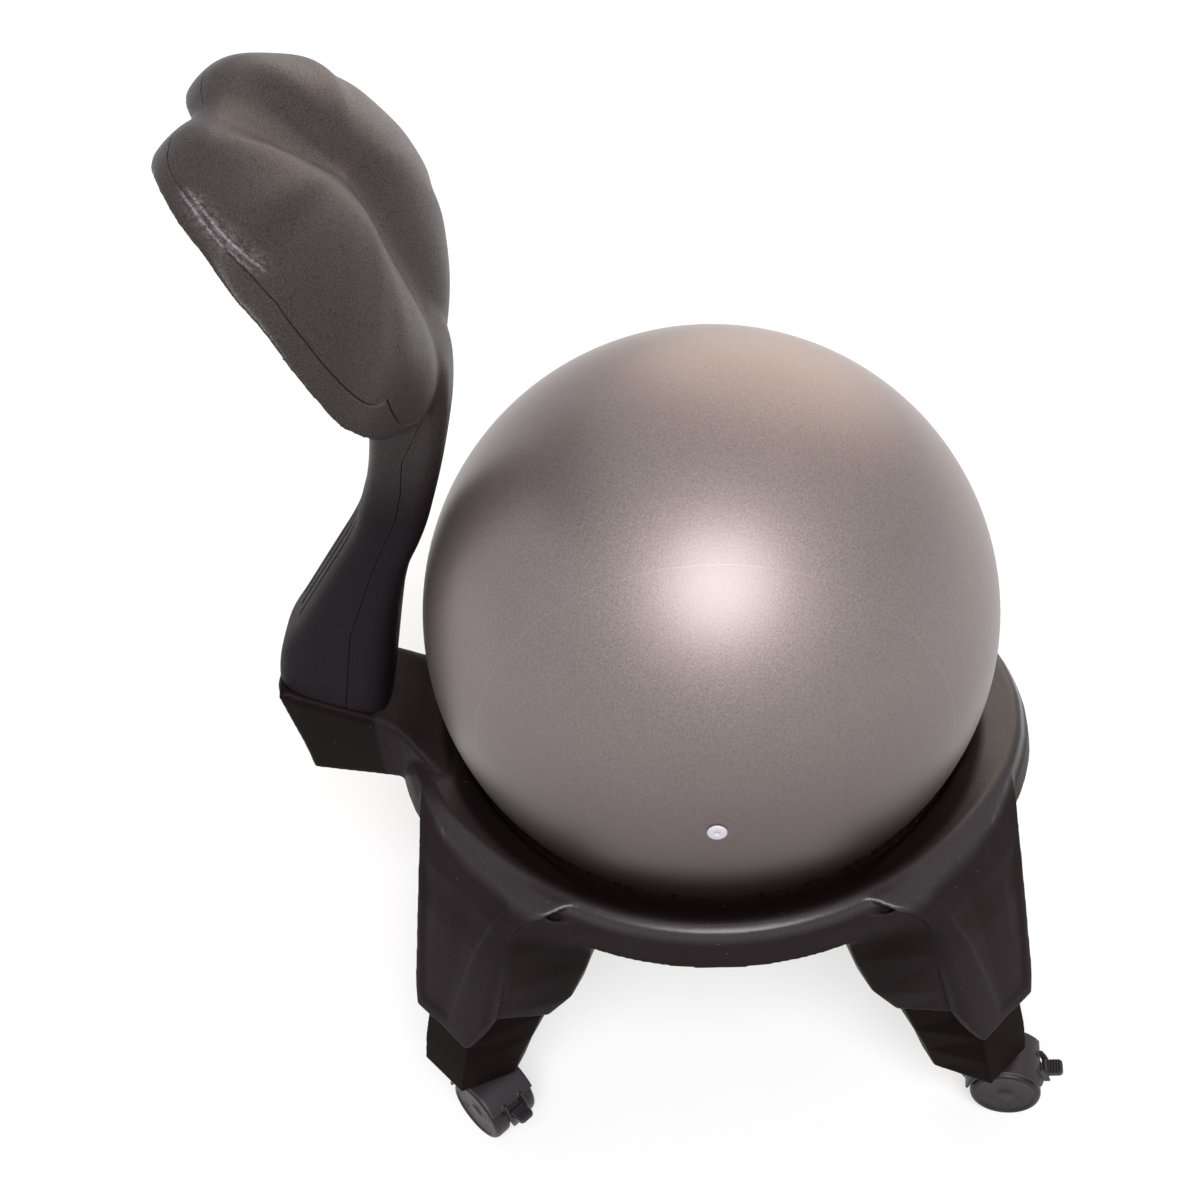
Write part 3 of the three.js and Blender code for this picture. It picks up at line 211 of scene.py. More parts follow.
def frame_plastic():
    """The base's plastic: polished on the ring's ridge, painted darker as shade where little light comes,
    with pale specks.
    """
    make, colour, grain = moulded("base plastic", (0.011, 0.0072, 0.008), (0.026, 0.0185, 0.0205), 0.42, 0.06)
    x, y, z = make.axes()
    out = (x * x + y * y) ** 0.5
    # Painted shade: the colour is darkened under the ring, on the shelf beside the ball and on the tail,
    # where little light comes.
    painted_shade_under_ring = z.between(0.272, 0.252) * out.between(0.335, 0.29)
    painted_shade_beside_ball = z.between(0.262, 0.27) * out.between(0.264, 0.256)
    tail = y.between(0.312, 0.318)
    colour = make.blend(painted_shade_under_ring.high(painted_shade_beside_ball).high(tail) * 0.8, colour, (0.003, 0.001, 0.001))
    spots = 1 - make.cells(230, "F1").between(0.07, 0.12)
    rare = make.noise(120, 1).between(0.66, 0.69)
    colour = make.blend(spots * rare * 0.4, colour, (0.4, 0.39, 0.4))
    at_ridge_height = z.between(0.283, 0.292) * z.between(0.302, 0.298)
    ridge = at_ridge_height * out.between(0.252, 0.262) * y.between(0.27, 0.24)
    return make.set(Base_Color=colour, Coat_Weight=ridge * (0.5 + grain * 0.9), Coat_Roughness=0.33)


def leg_plastic():
    """The darker plastic of the leg extensions and the tail's cover."""
    make, _, _ = moulded("leg plastic", (0.004, 0.0016, 0.0018), (0.008, 0.004, 0.0045), 0.5, 0.03)
    return make.material


def leather_grain():
    """The back's grained skin: pebbled like leather, with scuffs along the seam of one shoulder that carry a
    painted highlight, and painted shade on the stem.
    """
    make = Finish("leather grained plastic")
    warp = make.node("VectorMath", {"operation": "ADD"}, make.place, make.noise(30, 2) * 0.006)
    pebble = make.cells(480, place=warp).between(0.0, 0.24)
    fine = make.cells(1100, place=warp).between(0.0, 0.3)
    drift = make.noise(11, 4)
    colour = make.blend(drift, (0.036, 0.027, 0.027), (0.06, 0.0465, 0.0455))
    colour = make.blend(pebble * 0.6 + 0.4, (0.02, 0.015, 0.0175), colour)

    # Two thin streak lines and a hazy band beside the seam, each at its own distance from the seam's line:
    # scuffs, with a highlight painted over them in pale colour.
    x, y, z = make.axes()
    side = 0 - x
    off_seam = (z - y) * 0.7071 - 0.4 - (side - 0.117) * 0.2
    shoulder = side.between(0.108, 0.124) * side.between(0.166, 0.15) * (y + z).between(1.15, 1.17)
    painted_highlight_streaks = abs(off_seam - 0.002).between(0.0013, 0.0004) + abs(off_seam - 0.0062).between(0.0011, 0.0004)
    painted_highlight_haze = abs(off_seam - 0.005).between(0.012, 0.001) * make.noise(240, 4, 0.7).between(0.42, 0.62)
    scratch = make.noise(420, 3, 0.7).between(0.36, 0.6)
    scuff_and_painted_highlight = shoulder * (painted_highlight_streaks * scratch * 0.5 + painted_highlight_haze * 0.22).low(1.0)
    # Painted highlight: the scuffed lines and band are coloured pale.
    colour = make.blend(scuff_and_painted_highlight, colour, (0.4, 0.38, 0.4))

    # Painted shade: the stem's colour is darkened below the pad; the same mask makes it rougher and leaves it
    # without coat.
    stem = z.between(0.66, 0.56)
    colour = make.blend(stem * 0.88, colour, (0.008, 0.005, 0.007))
    make.bump(pebble * 0.7 + fine * 0.3 - scuff_and_painted_highlight * 0.3, 0.0003, 0.8)
    rough = 0.47 + (drift - 0.5) * 0.12 - pebble * 0.06
    return make.set(
        Base_Color=colour,
        Roughness=rough + stem * 0.08,
        Specular_IOR_Level=0.1,
        Coat_Weight=(1 - stem) * (0.25 + pebble * 0.25),
        Coat_Roughness=0.36,
    )


def caster_plastic():
    """The casters' plastic, with a finer grain than the base's."""
    dark, light = (0.018, 0.0145, 0.016), (0.032, 0.027, 0.03)
    make, _, _ = moulded("caster plastic", dark, light, 0.34, 0.35, grain_scale=1800, grain_depth=0.00008)
    return make.material


def wheel_plastic():
    """The wheels' plastic, dulled by dust in patches."""
    make = Finish("wheel plastic")
    grain = make.noise(900, 3)
    dust = make.noise(70, 5, 0.7).between(0.45, 0.75)
    colour = make.blend(dust * 0.5, (0.012, 0.009, 0.0098), (0.03, 0.0245, 0.025))
    make.bump(grain, 0.00012, 0.7)
    return make.set(Base_Color=colour, Roughness=0.4 + dust * 0.24, Specular_IOR_Level=0.3)


def zinc():
    """The zinc plate of the screws, stems, axles and sleeves."""
    make = Finish("zinc plate")
    brushed = make.noise(600, 3)
    colour = make.blend(brushed, (0.42, 0.42, 0.43), (0.6, 0.6, 0.61))
    make.bump(brushed, 0.00003)
    return make.set(Base_Color=colour, Metallic=0.95, Roughness=0.3 + brushed * 0.2)


finishes = {
    "ball_skin": ball_skin(),
    "valve_white": valve_white(),
    "frame_plastic": frame_plastic(),
    "leg_plastic": leg_plastic(),
    "back_plastic": leather_grain(),
    "caster_plastic": caster_plastic(),
    "wheel_plastic": wheel_plastic(),
    "steel": zinc(),
}


# Making pieces

# Points nearer together than this, in metres, are one: in the meshes of the CAD and in turned bodies.
CAD_DOUBLES = 2e-6
TURNED_DOUBLES = 1e-6


def helper_object(name, mesh):
    """An object that is in the scene only while pieces are made with it."""
    made = bpy.data.objects.new(name, mesh)
    scene.collection.objects.link(made)
    return made


def baked(name, mesh, kind, settings):
    """A new mesh that is another with a modifier applied."""
    helper = helper_object(name, mesh)
    modifier = helper.modifiers.new(kind.title(), kind)
    for key, value in settings.items():
        setattr(modifier, key, value)
    bpy.context.view_layer.update()
    made = bpy.data.meshes.new_from_object(helper.evaluated_get(bpy.context.evaluated_depsgraph_get()))
    bpy.data.objects.remove(helper)
    return made


def combined(name, mesh, operation, other):
    """A mesh united with the mesh of a helper object, cut by it or cut down to it."""
    return baked(name, mesh, "BOOLEAN", {"operation": operation, "object": other, "solver": "EXACT"})


def to_mesh(name, bm):
    mesh = bpy.data.meshes.new(name)
    bm.to_mesh(mesh)
    bm.free()
    return mesh


def to_bmesh(mesh):
    bm = bmesh.new()
    bm.from_mesh(mesh)
    return bm


def remeshed(name, mesh, voxel):
    """Overlapping bodies made one, as a bmesh of squares with sides of a length in mm."""
    return to_bmesh(baked(name, mesh, "REMESH", {"mode": "VOXEL", "voxel_size": voxel * MM}))


def smooth(bm, passes):
    """Softens edges: each pass takes every point half of the way to the middle of its neighbours."""
    axes = {"use_axis_x": True, "use_axis_y": True, "use_axis_z": True}
    for _ in range(passes):
        bmesh.ops.smooth_vert(bm, verts=bm.verts, factor=0.5, **axes)


def thinned(name, mesh, triangles):
    """A mesh of squares brought down to a number of triangles, if it has more."""
    return baked(name, mesh, "DECIMATE", {"ratio": min(1.0, triangles / (2 * len(mesh.polygons)))})


def fused(name, mesh, voxel, passes, triangles):
    """Overlapping bodies made one, with soft edges between them."""
    bm = remeshed(name, mesh, voxel)
    smooth(bm, passes)
    return thinned(name, to_mesh(name, bm), triangles)


def finished(name, mesh, slot_name, body, *replaced, sharp=38):
    """A piece of the chair from a mesh: smooth but for edges over sharp degrees, riding on a body."""
    bm = to_bmesh(mesh)
    for face in bm.faces:
        face.smooth = True
    for edge in bm.edges:
        edge.smooth = not (edge.is_manifold and edge.calc_face_angle(0) > math.radians(sharp))
    bm.to_mesh(mesh)
    bm.free()
    mesh.materials.clear()
    mesh.materials.append(finishes[slot_name])
    obj = bpy.data.objects.new(name, mesh)
    scene.collection.objects.link(obj)
    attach(obj, body)
    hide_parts(*replaced)


def merged_copy(node):
    """A CAD node's mesh as a bmesh of its own, with its doubled vertices merged."""
    bm = to_bmesh(nodes[node].data)
    bmesh.ops.remove_doubles(bm, verts=bm.verts, dist=CAD_DOUBLES)
    return bm


def loft(bm, sections):
    """Adds a closed body through sections of equal numbers of points, in metres."""
    rings = [[bm.verts.new(point) for point in section] for section in sections]
    loops = [[bm.edges.new(pair) for pair in zip(ring, ring[1:] + ring[:1])] for ring in rings]
    for lower, upper in zip(loops, loops[1:]):
        bmesh.ops.bridge_loops(bm, edges=lower + upper)
    ends = [bm.faces.new(rings[0]), bm.faces.new(rings[-1])]
    bmesh.ops.poke(bm, faces=ends)
    bmesh.ops.recalc_face_normals(bm, faces=bm.faces)


def curve_number(before, start, end, after, t):
    """A number a share t of the way from start to end, on a smooth curve that also follows its neighbours."""
    slope = (end - before) * t
    bend = (2 * before - 5 * start + 4 * end - after) * t**2
    twist = (3 * start - before - 3 * end + after) * t**3
    return 0.5 * (2 * start + slope + bend + twist)


def curve_through(points, count, closed=False):
    """Points evenly taken from a smooth curve through given ones, each a tuple of numbers."""
    size = len(points)
    spans = size if closed else size - 1
    total = count if closed else count - 1

    def given(k):
        return points[k % size] if closed else points[min(max(k, 0), size - 1)]

    made = []
    for step in range(count):
        place = step / total * spans
        i = min(int(place), spans - 1)
        rows = zip(given(i - 1), given(i), given(i + 1), given(i + 2))
        made.append(tuple(curve_number(*row, place - i) for row in rows))
    return made


def turned(profile, steps):
    """A body turned about Z from a profile of (radius, height) points in mm."""
    bm = bmesh.new()
    verts = [bm.verts.new((radius * MM, 0, height * MM)) for radius, height in profile]
    edges = [bm.edges.new(pair) for pair in zip(verts, verts[1:])]
    bmesh.ops.spin(
        bm, geom=verts + edges, cent=(0, 0, 0), axis=(0, 0, 1), angle=math.tau, steps=steps, use_merge=True
    )
    bmesh.ops.remove_doubles(bm, verts=bm.verts, dist=TURNED_DOUBLES)
    bmesh.ops.recalc_face_normals(bm, faces=bm.faces)
    return bm


def moved(bm, matrix):
    bmesh.ops.transform(bm, matrix=matrix, verts=bm.verts)
    return bm


# The camera and the studio

# Fitted to the photo. The lens is a little longer than the fitted one, so that the chair fills the frame.
CAMERA_PLACE = Vector((-1.06907, 0.01057, 1.38067))
CAMERA_TURN = Matrix(
    (
        (0.0234129, 0.6638078, -0.7475365),
        (-0.9975665, -0.0336071, -0.0610869),
        (-0.0656725, 0.7471477, 0.6614057),
    )
)
CAMERA_LENS = 47
# The pale surround's strength as a light, and as it is seen.
SURROUND = {"light": 0.28, "seen": 0.7}
# The floor's half-size in metres, and how far its whiteness is lifted where it is seen.
FLOOR = {"half": 20, "lift": 0.6}


def camera():
    data = bpy.data.cameras.new("camera")
    data.sensor_width = 36
    data.lens = CAMERA_LENS
    obj = bpy.data.objects.new("camera", data)
    obj.matrix_world = Matrix.Translation(CAMERA_PLACE) @ CAMERA_TURN.to_4x4()
    scene.collection.objects.link(obj)
    scene.camera = obj
    scene.view_settings.view_transform = "Standard"


def seen_rays(tree):
    """1 for the rays that see the background, mirror it or see it through something, and 0 for its light."""
    path = tree.nodes.new("ShaderNodeLightPath").outputs
    socket = path["Is Camera Ray"]
    for name in ("Is Glossy Ray", "Is Transmission Ray"):
        most = tree.nodes.new("ShaderNodeMath")
        most.operation = "MAXIMUM"
        tree.links.new(socket, most.inputs[0])
        tree.links.new(path[name], most.inputs[1])
        socket = most.outputs[0]
    return socket


def surround():
    """An even pale surround, brighter where it is seen than as a light."""
    world = bpy.data.worlds.new("studio")
    scene.world = world
    world.use_nodes = True
    tree = world.node_tree
    background = tree.nodes["Background"]
    background.inputs["Color"].default_value = (0.93, 0.93, 0.96, 1)
    strength = tree.nodes.new("ShaderNodeMapRange")
    strength.inputs["To Min"].default_value = SURROUND["light"]
    strength.inputs["To Max"].default_value = SURROUND["seen"]
    tree.links.new(seen_rays(tree), strength.inputs["Value"])
    tree.links.new(strength.outputs["Result"], background.inputs["Strength"])


def lamp(name, kind, place, aim, power, colour, **settings):
    """A lamp at a place in metres that shines at another."""
    data = bpy.data.lights.new(name, kind)
    data.energy = power
    data.color = colour
    for key, value in settings.items():
        setattr(data, key, value)
    obj = bpy.data.objects.new(name, data)
    obj.location = place
    obj.rotation_euler = (Vector(aim) - Vector(place)).to_track_quat("-Z", "Y").to_euler()
    scene.collection.objects.link(obj)


def floor_plane():
    """A wide grey floor that looks white where it is seen."""
    bm = bmesh.new()
    bmesh.ops.create_grid(bm, x_segments=1, y_segments=1, size=FLOOR["half"])
    mesh = to_mesh("floor", bm)
    floor = bpy.data.objects.new("floor", mesh)
    scene.collection.objects.link(floor)
    make = Finish("floor")
    make.put(make.shader.inputs["Emission Color"], Value(make, seen_rays(make.tree)))
    mesh.materials.append(
        make.set(
            Base_Color=(0.4, 0.4, 0.4),
            Roughness=0.9,
            Specular_IOR_Level=0,
            Emission_Strength=FLOOR["lift"],
        )
    )


def studio():
    """The surround, a broad soft key from over the camera, a warm glow from behind and the floor."""
    surround()
    lamp("key", "SUN", (-1.5, -0.16, 2.3), (0, 0, 0.42), 3.2, (1, 0.98, 1), angle=math.radians(38))
    lamp("warm", "AREA", (3.4, -1.1, 2.5), (0, 0, 0.5), 80, (1, 0.82, 0.66), shape="DISK", size=4.6)
    floor_plane()


# The ball and its valve plug, in mm but for the ball's centre

BALL = {"radius": 260, "centre": Vector((0, 0, 0.416))}
# Profiles are turned about Z: this takes Z to the valve's axis, which leaves the ball along -X.
VALVE_FRAME = Matrix.Translation(BALL["centre"]) @ Matrix.Rotation(-math.pi / 2, 4, "Y")
VALVE_HOLE = {"angle": math.radians(1.02), "depth": 5}
# The sunk ring round the plug and the raised rim inside it: depth, distance from the axis and width.
VALVE_RINGS = ((1.1, 15, 4.5), (-0.5, 8, 3))
# The skin's rows from the valve to the far side, and the power that crowds them round the valve.
SKIN_ROWS = {"count": 150, "crowding": 1.12, "round": 192}
PLUG_LIFT = 0.3


def ball():
    """The ball's skin, turned about its valve, with a sunk ring round the plug."""
    radius = BALL["radius"]
    start = VALVE_HOLE["angle"]
    rows = SKIN_ROWS["count"]
    profile = []
    for i in range(rows + 1):
        angle = start + (math.pi - start) * (i / rows) ** SKIN_ROWS["crowding"]
        off = radius * math.sin(angle)
        dip = sum(depth * math.exp(-(((off - place) / width) ** 2)) for depth, place, width in VALVE_RINGS)
        # The rings are on the valve's side only.
        near = dip if angle < 1 else 0
        profile.append(((radius - near) * math.sin(angle), (radius - near) * math.cos(angle)))
    profile[-1] = (0, -radius)
    hole, top = profile[0]
    profile.insert(0, (hole, top - VALVE_HOLE["depth"]))
    bm = moved(turned(profile, SKIN_ROWS["round"]), VALVE_FRAME)
    finished("ball_skin_piece", to_mesh("ball_skin_piece", bm), "ball_skin", "ball", "ball", sharp=50)


def valve():
    """The plug: a low rounded head with a small dimple, on its stem."""
    profile = [(0, -17), (2.8, -17), (3.6, -16.7), (4.1, -15.8), (4.1, 0.2), (7.2, 0.1), (7.9, 0.4)]
    profile += [(8.2, 1.0), (8.0, 1.7), (7.4, 2.2), (6.2, 2.42), (4.0, 2.5), (2.6, 2.44), (1.9, 2.2)]
    profile += [(1.6, 1.7), (1.5, -0.6), (0, -0.8)]
    lift = Matrix.Translation(Vector((0, 0, (BALL["radius"] + PLUG_LIFT) * MM)))
    bm = moved(turned(profile, 48), VALVE_FRAME @ lift)
    mesh = to_mesh("valve_plug_piece", bm)
    finished("valve_plug_piece", mesh, "valve_white", "valve_plug", "valve_plug", sharp=60)


# The base: the moulding's solid, rounded off as a moulding is, in mm but for its seat

# The sides of the solid's rings.
RING_STEPS = 40
# A leg's skirt: its bottom and its height, its reach under the ring and how much further its foot splays, and
# its half-width at the foot and how much that can grow.
SKIRT = {"bottom": 146, "height": 150.5, "shoulder": 270, "splay": 93.5, "foot": 36.8, "grow": 14.2}
# Heights up a leg's skirt, its reach, and its half-widths towards the chair's side and end, all as shares.
SKIRT_SHARES = (
    (0, 1, 0, 0),
    (0.093, 0.941, 0.5, 0.5),
    (0.219, 0.861, 1, 0.95),
    (0.425, 0.733, 0.93, 1.6),
    (0.611, 0.604, 0.89, 2.3),
    (0.784, 0.47, 0.74, 3.3),
    (0.857, 0.4, 0.93, 4.1),
    (0.917, 0.3, 1.49, 5.4),
    (0.965, 0.19, 2.3, 7),
    (1, 0.01, 3.04, 8),
)
# Each leg's angle, and the sign of the way across that leads to the chair's side.
DIAGONALS = ((45, -1), (135, 1), (225, -1), (315, 1))
# The lining of a skirt: its faces behind the skirt's, its distance from the skirt's edges below and above the
# ring's lower edge, which is given as a share of the height, how far it is lowered, and the ring's radius.
LINING = {
    "near": 3.4,
    "far": 10.5,
    "inset_below": 7,
    "inset_above": 0.5,
    "ring_from": 0.7,
    "drop": 1.5,
    "ring": 273,
}
LINING_STEPS = 14
# The tail's rear wall in the middle plane, its half-width, and its lining's faces inside it.
TAIL_WALL = {"low": (381.3, 279.5), "high": (400, 376), "half": 53, "near": 1.3, "far": 7}
# The band of the ring that carries the ball, by distance from the ball's centre and by height, in metres.
SEAT = {"near": 0.2555, "far": 0.2645, "low": 0.262, "high": 0.293}
SEAT_GAP = 0.06
# The sides of the base's squares, its passes of smoothing and the most triangles that it keeps.
BASE_MESH = {"voxel": 1.8, "passes": 6, "triangles": 185000}


def skirt_backing(bm, degrees, sideways):
    """A lining behind a skirt's face, so that the sunk panel stays whole where the wall leans over."""
    angle = math.radians(degrees)
    out = Vector((math.cos(angle), math.sin(angle), 0))
    over = Vector((-math.sin(angle), math.cos(angle), 0))
    sections = []
    for height, reach, side, end in SKIRT_SHARES[1:]:
        below_ring = height < LINING["ring_from"]
        inset = LINING["inset_below"] if below_ring else LINING["inset_above"]
        near, far = (SKIRT["foot"] + SKIRT["grow"] * share - inset for share in (side, end))
        z = SKIRT["bottom"] + SKIRT["height"] * height - LINING["drop"]
        front, rear = [], []
        for i in range(LINING_STEPS + 1):
            across = near - (near + far) * i / LINING_STEPS
            face = SKIRT["shoulder"] + SKIRT["splay"] * reach - height * across**2 / (2 * SKIRT["shoulder"])
            behind = face - LINING["far"]
            if not below_ring:
                # The pocket between the skirt and the ring is filled.
                behind = min(behind, LINING["ring"] - across**2 / (2 * LINING["ring"]))
            for line, place in ((front, face - LINING["near"]), (rear, behind)):
                line.append((out * place + over * (sideways * across) + Vector((0, 0, z))) * MM)
        sections.append(front + rear[::-1])
    loft(bm, sections)


def tail_backing(bm):
    """A lining inside the tail's rear wall, from its lower edge up to the deck."""
    (low_y, low_z), (high_y, high_z) = TAIL_WALL["low"], TAIL_WALL["high"]
    near, far, half = TAIL_WALL["near"], TAIL_WALL["far"], TAIL_WALL["half"]
    section = [(low_y - near, low_z), (high_y - near, high_z), (high_y - far, high_z), (low_y - far, low_z)]
    loft(bm, [[Vector((x, y, z)) * MM for y, z in section] for x in (-half, half)])


def round_out(bm):
    """Turns the many-sided rings of the solid into round ones."""
    half = math.pi / RING_STEPS
    for vert in bm.verts:
        place = vert.co
        offset = (math.atan2(place.y, place.x) % (2 * half)) - half
        grow = math.cos(offset) / math.cos(half)
        place.x *= grow
        place.y *= grow


def seat_ball(bm):
    """Fits the band of the ring that carries the ball to the ball's skin."""
    for vert in bm.verts:
        away = vert.co - BALL["centre"]
        if SEAT["near"] < away.length < SEAT["far"] and SEAT["low"] < vert.co.z < SEAT["high"]:
            vert.co = BALL["centre"] + away.normalized() * (BALL["radius"] + SEAT_GAP) * MM


def base():
    bm = merged_copy("base_frame")
    for degrees, sideways in DIAGONALS:
        skirt_backing(bm, degrees, sideways)
    tail_backing(bm)
    bm = remeshed("base", to_mesh("base", bm), BASE_MESH["voxel"])
    round_out(bm)
    smooth(bm, BASE_MESH["passes"])
    seat_ball(bm)
    mesh = thinned("base", to_mesh("base", bm), BASE_MESH["triangles"])
    finished("base_moulding", mesh, "frame_plastic", "base", "base_frame", sharp=70)


# The back: a pad with two lobes on a hollow stem, split into a front and a rear shell, in mm

ROOT = math.sqrt(0.5)
# The pad's rim in its leaning frame: its half-width, where it begins and how far it goes along the pad, and
# how far forward it lies and bows.
PAD = {"half": 213, "bottom": 621.98, "height": 289, "low": 322.04, "bow": 75}
# The pad's middle, to which its loops shrink.
PAD_MIDDLE = {"along": 791.91, "forward": 396.04}
# How far the pad swells out of its rim's plane, how full it is, and the valley between its lobes.
SWELL = {"crown": 52, "rear": 6, "rear_fullness": 0.4, "valley": 0.42, "valley_width": 38}
# How a full part of the pad stays high further out, and falls off more steeply at its rim.
FULLNESS = {"flat": 6, "steep": 0.62}
# The right half of the pad's rim: across, along and forward as shares, and how full the front stands over it.
RIM_SHARES = (
    (0, 0.965, 0.83, 1),
    (0.14, 0.99, 0.73, 1),
    (0.28, 1, 0.68, 0.95),
    (0.465, 0.976, 0.84, 0.42),
    (0.634, 0.903, 0.93, 0.24),
    (0.756, 0.817, 1, 0.2),
    (0.85, 0.727, 1, 0.06),
    (0.92, 0.63, 1, 0.03),
    (0.972, 0.533, 0.93, 0.02),
    (1, 0.426, 0.84, 0.03),
    (0.995, 0.35, 0.76, 0.03),
    (0.92, 0.27, 0.68, 0.06),
    (0.775, 0.208, 0.47, 0.27),
    (0.61, 0.156, 0.27, 0.7),
    (0.42, 0.09, 0.11, 0.75),
    (0.21, 0.042, 0.04, 0.6),
    (0, 0.02, 0, 0.6),
)
RIM_HALF = tuple(
    (PAD["half"] * across, PAD["bottom"] + PAD["height"] * along, PAD["low"] + PAD["bow"] * forward, full)
    for across, along, forward, full in RIM_SHARES
)
RIM = RIM_HALF + tuple((-across, *rest) for across, *rest in RIM_HALF[-2:0:-1])
RIM_POINTS = 160
# The pad's loops as shares of its rim, from the middle of its rear out, and in again over its front.
REAR_LOOPS = (0.03, 0.1, 0.22, 0.36, 0.5, 0.64, 0.76, 0.85, 0.92, 0.96, 0.985, 0.996)
FRONT_LOOPS = (0.998, 0.994, 0.985, 0.97, 0.95, 0.92, 0.88, 0.83, 0.77, 0.7, 0.62, 0.54, 0.46, 0.38)
FRONT_LOOPS += (0.3, 0.22, 0.15, 0.09, 0.03)
# The stem: its foot and its height, its foremost place and its depth, and its half-width.
STEM = {"base": 325, "height": 420, "front": 198, "depth": 206, "half": 50}
# Heights up the stem, then its front, its back and its half-width, all as shares.
STEM_SHARES = (
    (-0.05, 0.525, 1, 1),
    (0, 0.525, 1, 1),
    (0.048, 0.5, 1, 1),
    (0.136, 0.46, 0.988, 1),
    (0.21, 0.426, 0.945, 0.98),
    (0.274, 0.396, 0.856, 0.95),
    (0.345, 0.359, 0.757, 0.92),
    (0.429, 0.302, 0.639, 0.88),
    (0.479, 0.248, 0.569, 0.86),
    (0.529, 0.2, 0.51, 0.85),
    (0.579, 0.163, 0.47, 0.84),
    (0.648, 0.116, 0.42, 0.84),
    (0.719, 0.074, 0.385, 0.84),
    (0.807, 0.032, 0.36, 0.84),
    (0.893, 0.015, 0.345, 0.84),
    (0.955, 0.04, 0.27, 0.8),
    (1, 0.08, 0.17, 0.74),
)
STEM_SECTIONS = 60
STEM_SIDES = 64
# Heights up the seam's lower part on the stem, and its place from the stem's front to its back, as shares.
SEAM_SHARES = (
    (-0.1, 0.72),
    (0.079, 0.683),
    (0.283, 0.594),
    (0.36, 0.525),
    (0.44, 0.455),
    (0.512, 0.381),
    (0.574, 0.312),
    (0.643, 0.267),
    (0.721, 0.237),
    (0.79, 0.16),
    (0.845, 0.1),
)
# How far the seam lies in front of the pad's rim, how far it runs on past the top, and how far down it goes
# for each mm that a half's side of it is shifted back.
SEAM = {"forward": 12, "beyond": 75, "down": 0.7}
# How far the halves in front of and behind the seam reach: forward, to the rear, up and across.
HALVES = {"front": -300, "rear": 900, "top": 1300, "across": 400}
SHELL_GAP = 0.8
# The block of the front shell in the valley: its half-width, its outline along and forward as shares, and the
# share along from which its points go up when it grows. Those below go down.
VALLEY_HALF = 46
VALLEY_SHARES = ((0.14, 0.36), (0.27, 0.6), (0.43, 0.9), (0.56, 1.1), (0.56, 2.4), (0.14, 2.4))
VALLEY_MIDDLE = 0.43
# The tail's deck: a place in it, its slope, and how far above it the back begins.
DECK = {"y": 305, "z": 339, "slope": 45 / 96.5, "gap": 0.3}
# The grooves down the stem: their spacing, their radius, how far their middle lies off the wall, the heights
# that they run between on its back and its front, and how much lower the outer ones end, for each mm across.
FLUTE = {"spacing": 15, "radius": 2.6, "off": 1.1, "back": (440, 552), "front": (556, 678), "fall": 0.6}
FLUTE_SECTIONS = 120
FLUTE_SIDES = 12
# The sides of the back's squares and its passes of smoothing.
BACK_MESH = {"voxel": 2.4, "passes": 18}


def stem_z(share):
    return STEM["base"] + STEM["height"] * share


def stem_y(share):
    return STEM["front"] + STEM["depth"] * share


STEM_ROWS = tuple(
    (stem_z(height), stem_y(front), stem_y(back), STEM["half"] * wide)
    for height, front, back, wide in STEM_SHARES
)


def pad_place(across, along, forward):
    """A place in the leaning frame of the pad, which is turned by 45 degrees, in metres."""
    return Vector((across, (along - forward) * ROOT, (along + forward) * ROOT)) * MM


def pad_section(rim, share, lift):
    """The pad's loop at a share of the way out to its rim, lifted to the front or sunk to the rear."""
    points = []
    for across, along, forward, full in rim:
        x = across * share
        place = PAD_MIDDLE["along"] + (along - PAD_MIDDLE["along"]) * share
        level = PAD_MIDDLE["forward"] + (forward - PAD_MIDDLE["forward"]) * share
        fullness = min(max(full, 0), 1) if lift > 0 else SWELL["rear_fullness"]
        swell = (1 - share ** (2 + FULLNESS["flat"] * fullness)) ** (1 - FULLNESS["steep"] * fullness)
        valley = 1 - SWELL["valley"] * math.exp(-((x / SWELL["valley_width"]) ** 2)) if lift > 0 else 1
        points.append(pad_place(x, place, level + lift * swell * valley))
    return points


def pad_solid(bm):
    """Adds the pad, from the middle of its rear over its rim to the middle of its front."""
    rim = curve_through(RIM, RIM_POINTS, closed=True)
    loops = [pad_section(rim, share, -SWELL["rear"]) for share in REAR_LOOPS]
    loops.append(pad_section(rim, 1, 0))
    loops += [pad_section(rim, share, SWELL["crown"]) for share in FRONT_LOOPS]
    loft(bm, loops)


def squared(value):
    """A sine or cosine made larger, so that a round section becomes a nearly square one."""
    return math.copysign(abs(value) ** 0.5, value)


def stem_solid(bm):
    """Adds the stem, with rounded square sections."""
    turns = [math.tau * i / STEM_SIDES for i in range(STEM_SIDES)]
    sections = []
    for z, front, back, half in curve_through(STEM_ROWS, STEM_SECTIONS):
        section = []
        for t in turns:
            y = (front + back) / 2 + (back - front) / 2 * squared(math.sin(t))
            section.append(Vector((half * squared(math.cos(t)), y, z)) * MM)
        sections.append(section)
    loft(bm, sections)


def rod_along(bm, path, radius):
    """Adds a round rod through points in mm that all lie in one plane of constant X."""
    turns = [math.tau * k / FLUTE_SIDES for k in range(FLUTE_SIDES)]
    across = Vector((1, 0, 0))
    sections = []
    for i, place in enumerate(path):
        way = (path[min(i + 1, len(path) - 1)] - path[max(i - 1, 0)]).normalized()
        up = way.cross(across)
        sections.append([(place + (across * math.cos(t) + up * math.sin(t)) * radius) * MM for t in turns])
    loft(bm, sections)


